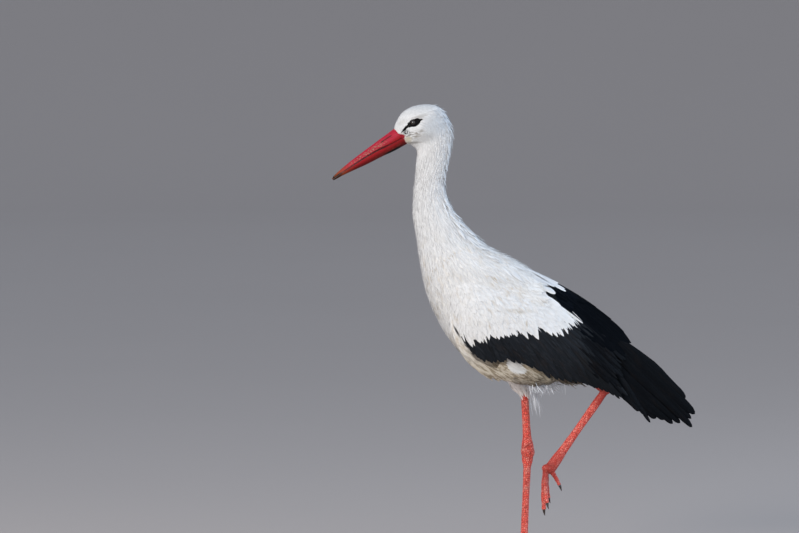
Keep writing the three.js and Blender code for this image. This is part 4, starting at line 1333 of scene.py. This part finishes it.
def makeTail():
    share = np.tile(np.linspace(0, 1, tail["pairs"]), 2)
    side = np.repeat((-1.0, 1.0), tail["pairs"])
    rootX, rootZ = tail["root"]
    runX, runZ = tail["tip"][0] - rootX, tail["tip"][1] - rootZ
    slope = math.atan2(runZ, runX)
    turn, length = np.radians(tail["spread"] * share), math.hypot(runX, runZ) * (1 - 0.06 * share)
    root = np.stack((rootX + 0 * share, side * (6 + 2 * share), rootZ - tail["stack"] * share), 1)
    way = np.stack((math.cos(slope) * np.cos(turn), side * np.sin(turn), math.sin(slope) + 0 * turn), 1)
    tip, breadth = (root + way * length[:, None]) * mm, np.full(len(share), tail["breadth"] * mm)
    longFeathers("tailFeathers", root * mm, tip, np.array([(0, 1.0, 0)]), breadth, {
        "shape": "blade", "out": (0, 0, 1.0), "sag": -0.004, "thick": 0.9, "ragged": 0.03,
        "replaces": ("tail",),
    }, white["body"])


for word, side in wings.items():
    whiteCoverts(side, word)
    covertStrands(side, word)
    fringeFeathers(side, word)
    flankFeathers(side, word)
    longWhites(side, word)
    wingBlacks(side, word)
    blackCoverts("blackCoverts_" + word, side, (-1.0, 0.150), black["flight"])
    blackCoverts("rearCoverts_" + word, side, (0.150, 0.222), black["primary"])
    makeTertials(side, word)
    makePrimaries(side, word)
makeTail()
print("stage: wings and tail")


def thighFeathers(word, leg):
    place = thighPlace(leg)
    share, angle = spreadRoots(place, (0.0, 0.95), (-np.pi, np.pi), lambda s, a: 0 * s + perArea(4.6 * 3.6))
    x, _, z = place(share, angle).T
    share, angle = kept(wingRim(x, z) < 0.022, share, angle)
    count = len(share)
    length = along([(0, 34), (0.6, 26), (1, 15)], share) * mm * varied(0.14, count)
    width = along([(0, 5.5), (0.6, 4.6), (1, 2.6)], share) * mm * varied(0.12, count)
    coat = thighCoat(share) * mm
    layVanes("thighCoat_" + word, place, share, angle, {
        "shape": "frond", "length": length, "width": width, "thick": 0.22 * mm,
        "lift": (0.4 * coat, coat + chance.uniform(0.0, 1.2, count) * mm), "stray": 8, "sway": 0.08,
        "rounded": 0.4,
    }, white["funnel" if word == "right" else "body"], -1)


for word, leg in legs.items():
    thighFeathers(word, leg)

# Loose down: narrow curved vanes that hang from a patch. Each patch has a middle, a spread, a
# heading with its own spread, lengths and how many.
downPatches = {
    "thigh": {
        "at": (31, -22, 374), "spread": (27, 34, 7), "way": (0.5, -0.05, -0.8), "stray": 0.34,
        "finish": "down",
        "length": (12, 31), "width": 1.6, "count": 520,
    },
    "shin": {
        "at": (21, 4, 358), "spread": (6, 8, 12), "way": (0.14, -0.04, -0.97), "stray": 0.12,
        "finish": "down",
        "length": (24, 58), "width": 1.2, "count": 60,
    },
    "vent": {
        "at": (92, 0, 380), "spread": (28, 22, 8), "way": (0.92, 0, -0.28), "stray": 0.12, "finish": "body",
        "length": (16, 30), "width": 3.4, "count": 240,
    },
}


# The centre line leaves its straight by a random share of the length, times the square of the
# share of the way along it.
def looseDown(name, make):
    count = make["count"]
    root = (np.array(make["at"]) + chance.normal(0, 0.5, (count, 3)) * make["spread"]) * mm
    way = unit(np.array(make["way"]) + chance.normal(0, make["stray"], (count, 3)))
    length = chance.uniform(*make["length"], count) * mm
    stations, widthShares = featherOutline("lance")
    widths = make["width"] * mm / 2 * widthShares * varied(0.2, count, 1)
    wide = unit(np.cross(way, chance.normal(0, 1, (count, 3))))
    normal = np.cross(wide, way)
    bend = chance.normal(0, 0.16, (count, 1, 1)) * length[:, None, None] * (stations**2)[None, :, None]
    centre = root[:, None] + way[:, None] * (length[:, None] * stations)[..., None] + normal[:, None] * bend
    sideways = (np.linspace(-1, 1, 3) * widths[:, :, None])[..., None]
    points = centre[:, :, None] + wide[:, None, None] * sideways
    normals = np.broadcast_to(normal[:, None, None], points.shape)
    piece = vaneMesh("down_" + name, points, normals, widths, stations, length, 0.3 * mm, root)
    finishPiece(piece, white[make["finish"]])


for name, make in downPatches.items():
    looseDown(name, make)
print("stage: thighs and down")

# share of the length, lean, lift of the middle, depth, width, and height of the mouth (-1 to 1)
billRibs = np.array([
    (0, -40, 0, 42, 27, -0.25), (0.16, -34, 0, 38.4, 23, -0.15), (0.32, -32.5, 1, 32.6, 20, 0),
    (0.53, -32.5, 1.4, 26.4, 16, 0.1), (0.72, -32.5, 2.2, 18.9, 12, 0), (0.88, -32.5, 2, 11.7, 8, -0.15),
    (0.97, -32.5, 0.8, 7.6, 5, -0.2), (1, -32.5, 0, 3.6, 2.6, -0.2),
])
bill = {
    "base": (-266, 900), "length": 172, "slope": 32.5, "gap": 0.4, "rows": 150, "arc": 49, "flare": 3.4,
    "slit": {"from": 0.080, "to": 0.235, "angle": 0.92, "wide": 0.075, "deep": 1.5},
    "groove": {"from": 0.20, "to": 0.60, "angle": 0.98, "wide": 0.12, "deep": 0.35},
}


# Crimson horn with pale flecks, orange near the tip and a little dried mud on it, and black
# skin under its base. Painted shade darkens its underside, its nostril slit and the line of its mouth.
def billMaterial():
    material = newMaterial("bill")
    run, level = attribute("along"), attribute("level")
    uv = Signal(addNode("ShaderNodeUVMap", uv_map="billMap"), "UV")

    def grain(scale, detail, stretch=1.0):
        return noise(scale, detail, 0.6, moved(uv, Scale=(stretch, 1, 1)))

    flecks = remap(grain(440.0, 3.0, 0.7), 0.50, 0.64)
    streaks = remap(grain(330.0, 3.0, 0.16), 0.50, 0.70)
    broad = remap(grain(70.0, 2.0), 0.4, 0.65)
    band = remap(calc("ABSOLUTE", level - 0.46), 0.44, 0.12)
    middle = remap(run, 0.12, 0.26) * remap(run, 0.80, 0.60)
    hook = remap(run, 0.83, 0.91) * remap(level, 0.55, 0.1) * 0.85
    mud = calc("MAXIMUM", remap(run, 0.90, 0.985) * remap(grain(260.0, 3.0), 0.38, 0.56), hook)
    chin = remap(run, 0.02, 0.12, 0.25, 1.0) * remap(run, 0.33, 0.22) * remap(level, -0.72, -0.82)
    base = layered(
        # darker towards the underside: painted shade
        blend(remap(level, -0.75, -0.15), (0.13, 0.006, 0.006), (0.33, 0.009, 0.014)),
        (remap(level, -0.1, 0.3), (0.43, 0.011, 0.036)),
        (streaks * 0.55, (0.19, 0.007, 0.010)),
        (flecks * band * middle * 0.90, (0.40, 0.30, 0.20)),
        (flecks * broad * 0.22, (0.34, 0.16, 0.10)),
        (remap(run, 0.66, 0.97), (0.26, 0.060, 0.016)),
        (mud, (0.014, 0.009, 0.006)),
        (chin, (0.003, 0.003, 0.003)),
        # painted shade in the nostril slit and its groove, and along the line of the mouth
        (attribute("slit") * 0.92, (0.030, 0.006, 0.008)),
        (attribute("lip") * remap(run, 0.08, 0.30, 0.4, 1.0), (0.008, 0.002, 0.002)),
    )
    rough = remap(flecks, 0.0, 1.0, 0.46, 0.64, "LINEAR") + mud * 0.3
    return shaded(material, base, rough, flecks * 0.5 - streaks, 0.00018, shine=0.16)


# 1 between low and high, with soft ends
def window(x, low, high, soft=0.012):
    return ease(x, low - soft, low + soft) * (1 - ease(x, high - soft, high + soft))


# A mandible is the part of each section above or below the mouth: an arc whose sides draw in
# towards the ridge, then a hollow across the mouth. The nostril is a slit pressed into its side.
def mandible(upper, finish):
    above = 1 if upper else -1
    t = np.linspace(-0.16, len(billRibs) - 1, bill["rows"])[:, None]
    reach, lean, lift, deep, wide, mouth = np.moveaxis(through(billRibs, t), -1, 0)
    wide = wide + bill["flare"] * np.exp(-np.maximum(reach, 0) / 0.022)
    slope, lean, limit = math.radians(bill["slope"]), np.radians(lean), np.arccos(np.clip(mouth, -1, 1))
    share = np.linspace(-1, 1, bill["arc"])[None]
    angle = limit * share if upper else np.pi + (np.pi - limit) * share
    fromEdge = (1 - np.abs(share)) * (limit if upper else np.pi - limit)
    press = 0 * angle
    for mark in (bill["slit"], bill["groove"]) if upper else ():
        away = (np.abs(angle) - mark["angle"]) / mark["wide"]
        press = press + mark["deep"] * np.exp(-away**2) * window(reach, mark["from"], mark["to"])
    tuck = 0.9 * np.exp(-fromEdge / 0.10) * deep / 42
    side = np.sin(angle) * (wide / 2) * (1 - 0.10 * np.abs(np.cos(angle)) ** 3)
    side = np.sign(side) * np.maximum(np.abs(side) - press - tuck, 0)
    across = np.linspace(1, -1, 15)[None, 1:-1] * np.ones_like(t)
    hollow = np.cos(limit) * deep / 2 + above * 0.7 * (1 - across**2) * deep / 42
    up = np.concatenate((np.cos(angle) * deep / 2, hollow), 1) + above * bill["gap"] / 2
    side = np.concatenate((side, above * across * (np.sin(limit) * wide / 2 - 0.9 * deep / 42)), 1)
    baseX, baseZ = bill["base"]
    run = 0.4 + reach * bill["length"]
    x = baseX - run * math.cos(slope) - lift * math.sin(slope)
    z = baseZ - run * math.sin(slope) + lift * math.cos(slope)
    rows = np.stack((x + up * np.sin(lean), side, z + up * np.cos(lean)), -1) * mm

    # a number for each point of the arc and of the mouth, then for the two ends
    def each(arc, mouth):
        numbers = np.concatenate((arc + 0 * angle, mouth + 0 * across), 1)
        return np.concatenate((numbers[0, :1], numbers.ravel(), numbers[-1, :1]))

    around = each(angle * deep / 2, across * wide / 2) * mm
    maps = {"billMap": np.stack((each(reach, reach) * bill["length"] * mm, around), 1)}
    values = {
        "along": each(reach, reach), "level": each(np.cos(angle), np.cos(limit)),
        "slit": each(press / 1.5, 0),
        "lip": each(np.exp(-((fromEdge / 0.10) ** 2)), 1),
    }
    word = "Upper" if upper else "Lower"
    finishPiece(makeMesh("bill" + word, *closedShell(rows), maps, values), finish, ("bill_" + word.lower(),))


horn = (billMaterial(), "bill")
mandible(True, horn)
mandible(False, horn)

eye = {"at": (-238, 930), "out": 20.5, "radius": 7.0, "opening": 5.7, "tilt": 22}


# a black pupil in a nearly black brown iris
def eyeMaterial():
    material = newMaterial("eye")
    polar = attribute("polar")
    iris = blend(remap(noise(900.0, 2.0), 0.4, 0.6), (0.020, 0.011, 0.006), (0.035, 0.020, 0.011))
    seen = blend(remap(polar, 0.40, 0.44), (0.002, 0.002, 0.002), iris)
    base = blend(remap(polar, 0.80, 0.90), seen, (0.004, 0.004, 0.005))
    return shaded(material, base, 0.10, coat=1.0, coatRough=0.06)


# finely wrinkled black bare skin
def lidMaterial():
    material = newMaterial("bareLids")
    crease = noise(1400.0, 3.0, 0.6)
    base = blend(remap(crease, 0.35, 0.7), (0.0012, 0.0013, 0.0018), (0.0045, 0.0045, 0.0052))
    return shaded(material, base, 0.5, crease, 0.0002, shine=0.07)


# A ball with a slightly raised cornea; `polar` is the angle from its axis. Its radius grows by
# 0.035 at the axis and falls off as a bell curve of that angle.
def makeEye(word, side, finish):
    polar, angle = ringGrid(0.03, np.pi - 0.03, 44, 56)
    radius = eye["radius"] * (1 + 0.035 * np.exp(-((polar / 0.42) ** 2)))
    axis = unit(np.array((-0.10, side, 0.02)))
    right = unit(np.cross((0, 0, 1.0), axis))
    ring = np.cos(angle)[..., None] * right + np.sin(angle)[..., None] * np.cross(axis, right)
    middle = np.array((eye["at"][0], side * eye["out"], eye["at"][1]))
    rows = middle + radius[..., None] * (np.cos(polar)[..., None] * axis + np.sin(polar)[..., None] * ring)
    values = {"polar": np.concatenate(([0], polar.ravel(), [np.pi]))}
    finishPiece(makeMesh("eyeball_" + word, *closedShell(rows * mm), None, values), finish, ("eye_" + word,))


# the lids' section: share of the way out, height over the skin in millimetres, for the top then
# the underside
lidProfile = np.array([
    (-0.09, -1.6), (-0.02, -0.1), (0.03, 0.75), (0.10, 1.05), (0.20, 0.80), (0.30, 0.42), (0.42, 0.55),
    (0.60, 0.45), (0.82, 0.28), (0.96, 0.12), (1.0, -0.2), (0.8, -1.2), (0.4, -1.4), (0.1, -2.2),
])


# The bare lids: a ring that rises from the ball to a rounded rim, falls in a shallow fold and
# spreads over the head to the edge of the bare patch. Its outer edge is found along each ray.
def makeLids(word, side, finish, count=144):
    angle = np.linspace(0, 2 * np.pi, count + 1)[:-1, None]
    middleX, middleZ = eye["at"][0] * mm, eye["at"][1] * mm
    opening = eye["opening"] * mm * (1 + 0.10 * np.cos(2 * (angle - math.radians(eye["tilt"]))))
    rays = np.linspace(0, 0.045, 260) + opening
    away = bareDistance(middleX + rays * np.cos(angle), middleZ + rays * np.sin(angle))
    edge = rays[np.arange(count), np.argmax(away > 0.0006, 1)][:, None]
    reach = np.maximum(edge, opening + 1.4 * mm) - opening
    share, rise = lidProfile.T
    radius = opening + share * np.minimum(reach, 0.012)
    radius = radius + np.maximum(share, 0) ** 2 * np.maximum(reach - 0.012, 0)
    x, z = middleX + radius * np.cos(angle), middleZ + radius * np.sin(angle)
    points = np.stack((x, side * (headOut(x, z) + rise * mm), z), -1).reshape(-1, 3)
    piece = makeMesh("lids_" + word, *facingOut(points, *gridFaces(count, len(lidProfile), True)))
    finishPiece(piece, finish)


ball, lid = (eyeMaterial(), "eye"), (lidMaterial(), "black_plumage")
for word, side in wings.items():
    makeEye(word, side, ball)
    makeLids(word, side, lid)
print("stage: bill, eyes and lids")

shank = {
    "shin": 8.7, "tarsus": {"right": 7.4, "left": 8.0}, "knob": {"right": 14.8, "left": 11.0}, "ball": 10.5,
    "flat": 0.82, "sole": 0.16, "pitch": 0.00115,
}
toes = {  # degrees from straight ahead, length, radius, and degrees below level while it swings
    "middle": (0, 86, 7.0, 80), "inner": (-42, 66, 6.4, 88), "outer": (42, 74, 6.4, 84),
    "hind": (176, 40, 5.6, 52),
}
claw = {"length": 13.0, "radius": 3.2, "joint": 0.4, "bend": {"right": -26, "left": -12}}


# Red skin in small many-sided scales, with painted highlights on their tops and painted shade in the
# grooves between them, and dusty here and there.
def legMaterial():
    material = newMaterial("legSkin")
    cells = {"Vector": moved(objectPlace(), Scale=(1, 1, 0.72)), "Scale": 290.0, "Randomness": 0.8}
    edge = addNode("ShaderNodeTexVoronoi", cells, feature="DISTANCE_TO_EDGE")
    tops = remap(Signal(edge, "Distance"), 0.02, 0.22)
    tone = Signal(addNode("ShaderNodeTexVoronoi", cells), "Color")
    scalePick = Signal(addNode("ShaderNodeSeparateColor", {0: tone}))
    base = layered(
        # painted shade in the grooves between the scales and painted highlight on their tops
        blend(tops, (0.41, 0.028, 0.017), (0.95, 0.115, 0.076)),
        # some scale tops paler still: painted highlights
        (tops * remap(scalePick, 0.35, 0.95) * 0.50, (0.95, 0.42, 0.34)),
        (remap(noise(60.0, 4.0, 0.65), 0.52, 0.72) * 0.42, (0.56, 0.31, 0.25)),
    )
    return shaded(material, marked(base, legShadeAndHighlights), remap(tops, 0, 1, 0.62, 0.46, "LINEAR"), tops, 0.00045)


# dark horn, lighter where it is worn
def clawMaterial():
    material = newMaterial("horn")
    grain = noise(700.0, 3.0, 0.6)
    base = blend(remap(grain, 0.4, 0.7), (0.022, 0.014, 0.011), (0.085, 0.055, 0.042))
    return shaded(material, base, 0.38, grain, 0.0001)


# rings about a straight bone, each an ellipse with its own radius
def boneShell(start, end, radii, back=0.0):
    _, fore, lateral = boneWays(start, end)
    share, angle = ringGrid(0, 1, 70, 28)
    ridge = 1 + back * np.maximum(np.cos(angle), 0) ** 4
    around = (ridge * np.cos(angle))[..., None] * fore + (shank["flat"] * np.sin(angle))[..., None] * lateral
    middle = start + share[..., None] * (end - start)
    return closedShell((middle + eased(radii, share)[..., None] * around) * mm)


def ballShell(middle, radii):
    polar, angle = ringGrid(0.06, np.pi - 0.06, 24, 32)
    rows = np.stack((np.sin(polar) * np.cos(angle), np.sin(polar) * np.sin(angle), np.cos(polar)), -1)
    return closedShell((middle + rows * radii) * mm)


# points of a line that sets out along a heading and bends about a sideways axis
def bentLine(start, heading, sideways, length, bend, steps):
    turn = np.radians(bend) * (np.arange(steps) / steps)[:, None]
    way = heading * np.cos(turn) + np.cross(sideways, heading) * np.sin(turn)
    return np.concatenate((start[None], start + np.cumsum(way, 0) * length / steps))


# a round rod along a line of points
def rodShell(line, radius, sideways, points=20):
    up = unit(np.cross(sideways, unit(np.gradient(line, axis=0))))
    angle = np.linspace(0, 2 * np.pi, points + 1)[None, :-1, None]
    rows = line[:, None] + radius[:, None, None] * (up[:, None] * np.cos(angle) + sideways * np.sin(angle))
    return closedShell(rows * mm)


# A toe and its claw. The standing foot's lie on the floor and the lifted foot's hang. The toe
# thins by 0.36 of its radius to its end, with three soft pads.
def toeAndClaw(word, leg, name, finish):
    yaw, length, radius, hang = toes[name]
    standing, hind = word == "right", name == "hind"
    yaw = math.radians(yaw if standing or hind else yaw * 0.45)
    dip = math.radians(0 if standing else hang)
    ahead = -math.cos(yaw)
    outward = math.sin(yaw) if standing else -math.sin(yaw)
    heading = unit(np.array((ahead * math.cos(dip), outward, -abs(ahead) * math.sin(dip))))
    sideways = flattened(np.array((0, -math.copysign(1, ahead), 0)), heading)
    base = leg["ball"] + (np.array((-8.0, 0, -1.0)) if not standing and not hind else 0)
    line = bentLine(base, heading, sideways, length, 0 if standing else -14, 48)
    share = np.linspace(0, 1, 49)
    plump = radius * (1 - 0.36 * share) * (1 + 0.07 * np.cos(share * 6 * np.pi))
    if standing:
        line[:, 2] = plump * (1 - shank["sole"])
    way = unit(line[-1] - line[-2])
    nail = bentLine(line[-1] + way * claw["joint"], way, sideways, claw["length"], claw["bend"][word], 16)
    nailRadius = claw["radius"] * (1 - 0.86 * np.linspace(0, 1, 17) ** 1.3)
    if standing:
        nail[:, 2] = np.maximum(nail[:, 2], nailRadius + 0.05)
    piece = makeMesh(f"nail_{word}_{name}", *rodShell(nail, nailRadius, sideways))
    finishPiece(piece, finish, (f"claw_{word}_{name}",))
    return rodShell(line, plump, sideways)


# balls [x, y, z from the ankle or ball, then three radii] that round off each leg's joints
def jointShells(word, ankle, foot):
    run, fore, _ = boneWays(ankle, foot)
    ahead, knob, end = fore * np.sign(fore[0]), shank["knob"][word], shank["ball"]
    shells = [
        ballShell(ankle, (knob, knob * shank["flat"], knob)),
        ballShell(ankle - ahead * 3.5 - run * 2, (11, 10.4, 13)),
        ballShell(ankle - run * 9 + ahead * 2.5, (9.5, 8, 11)), ballShell(foot, (end, end * 0.9, end)),
    ]
    if word == "right":
        return shells + [ballShell(ankle + (-9.0, 0, 4.0), (6.2, 8, 6.5))]
    return shells + [ballShell(foot + (-5.0, 0, 2.0), (12.5, 11, 9.5))]


# the low webs between the standing foot's front toes
def webShells(foot):
    turns = [math.radians(yaw) for yaw in (-21, 21)]
    return [ballShell(foot + (-math.cos(t) * 14, math.sin(t) * 14, -7.2), (15, 10, 2.4)) for t in turns]


def makeLeg(word, leg, finish, nailFinish):
    ankle, foot, top = leg["ankle"], leg["ball"], leg["thighEnd"]
    knob, thin, standing = shank["knob"][word], shank["tarsus"][word], word == "right"
    stem, lifted = shank["shin"] - 0.4 if standing else 4.6, 0.0 if standing else 3.0
    shin = [
        (0, 3.5), (0.12, stem), (0.3, stem), (0.62, stem + 0.3), (0.72, stem + 0.8), (0.93, knob - 1.5),
        (1, knob - 2),
    ]
    tarsus = [
        (0, knob - 2.5), (0.06, knob - 3), (0.17, thin + 0.6), (0.5, thin - 0.1),
        (0.72, thin + 0.2 + lifted / 4),
        (0.9, thin + 0.4 + lifted), (1, shank["ball"] + lifted / 2),
    ]
    shells = [boneShell(top + unit(top - ankle) * 14, ankle, shin), boneShell(ankle, foot, tarsus, 0.06)]
    shells += jointShells(word, ankle, foot)
    shells += [toeAndClaw(word, leg, name, nailFinish) for name in toes]
    shells += webShells(foot) if standing else []
    piece = makeMesh("bareLeg_" + word, *joinedShells(shells))
    fused(piece, shank["pitch"], 3)
    points = verticesOf(piece)
    points[:, 2] = np.maximum(points[:, 2], 0)
    piece.data.vertices.foreach_set("co", points.astype(np.float32).ravel())
    piece.data.update()
    finishPiece(piece, finish, (f"shin_{word}", f"tarsus_{word}", f"foot_{word}"))


redSkin, darkHorn = (legMaterial(), "leg_skin"), (clawMaterial(), "claw")
for word, leg in legs.items():
    makeLeg(word, leg, redSkin, darkHorn)
print("stage: legs, feet and claws")


def makeFloor():
    share, angle = ringGrid(0, 1, 60, 128)
    radius = share * studio["rim"]
    rise = ease(radius, studio["flat"], studio["rim"] + 6) * studio["rise"]
    points = np.stack((radius * np.cos(angle), radius * np.sin(angle), rise), -1).reshape(-1, 3)
    corners, sizes = gridFaces(60, 128, False)
    floor = makeMesh("floor", points, reversedFaces(corners, sizes), sizes)
    material = newMaterial("floor")
    tone = blend(noise(0.6, 2.0), studio["floor"], [c * 0.97 for c in studio["floor"]])
    floor.data.materials.append(shaded(material, tone, 0.95))


makeFloor()
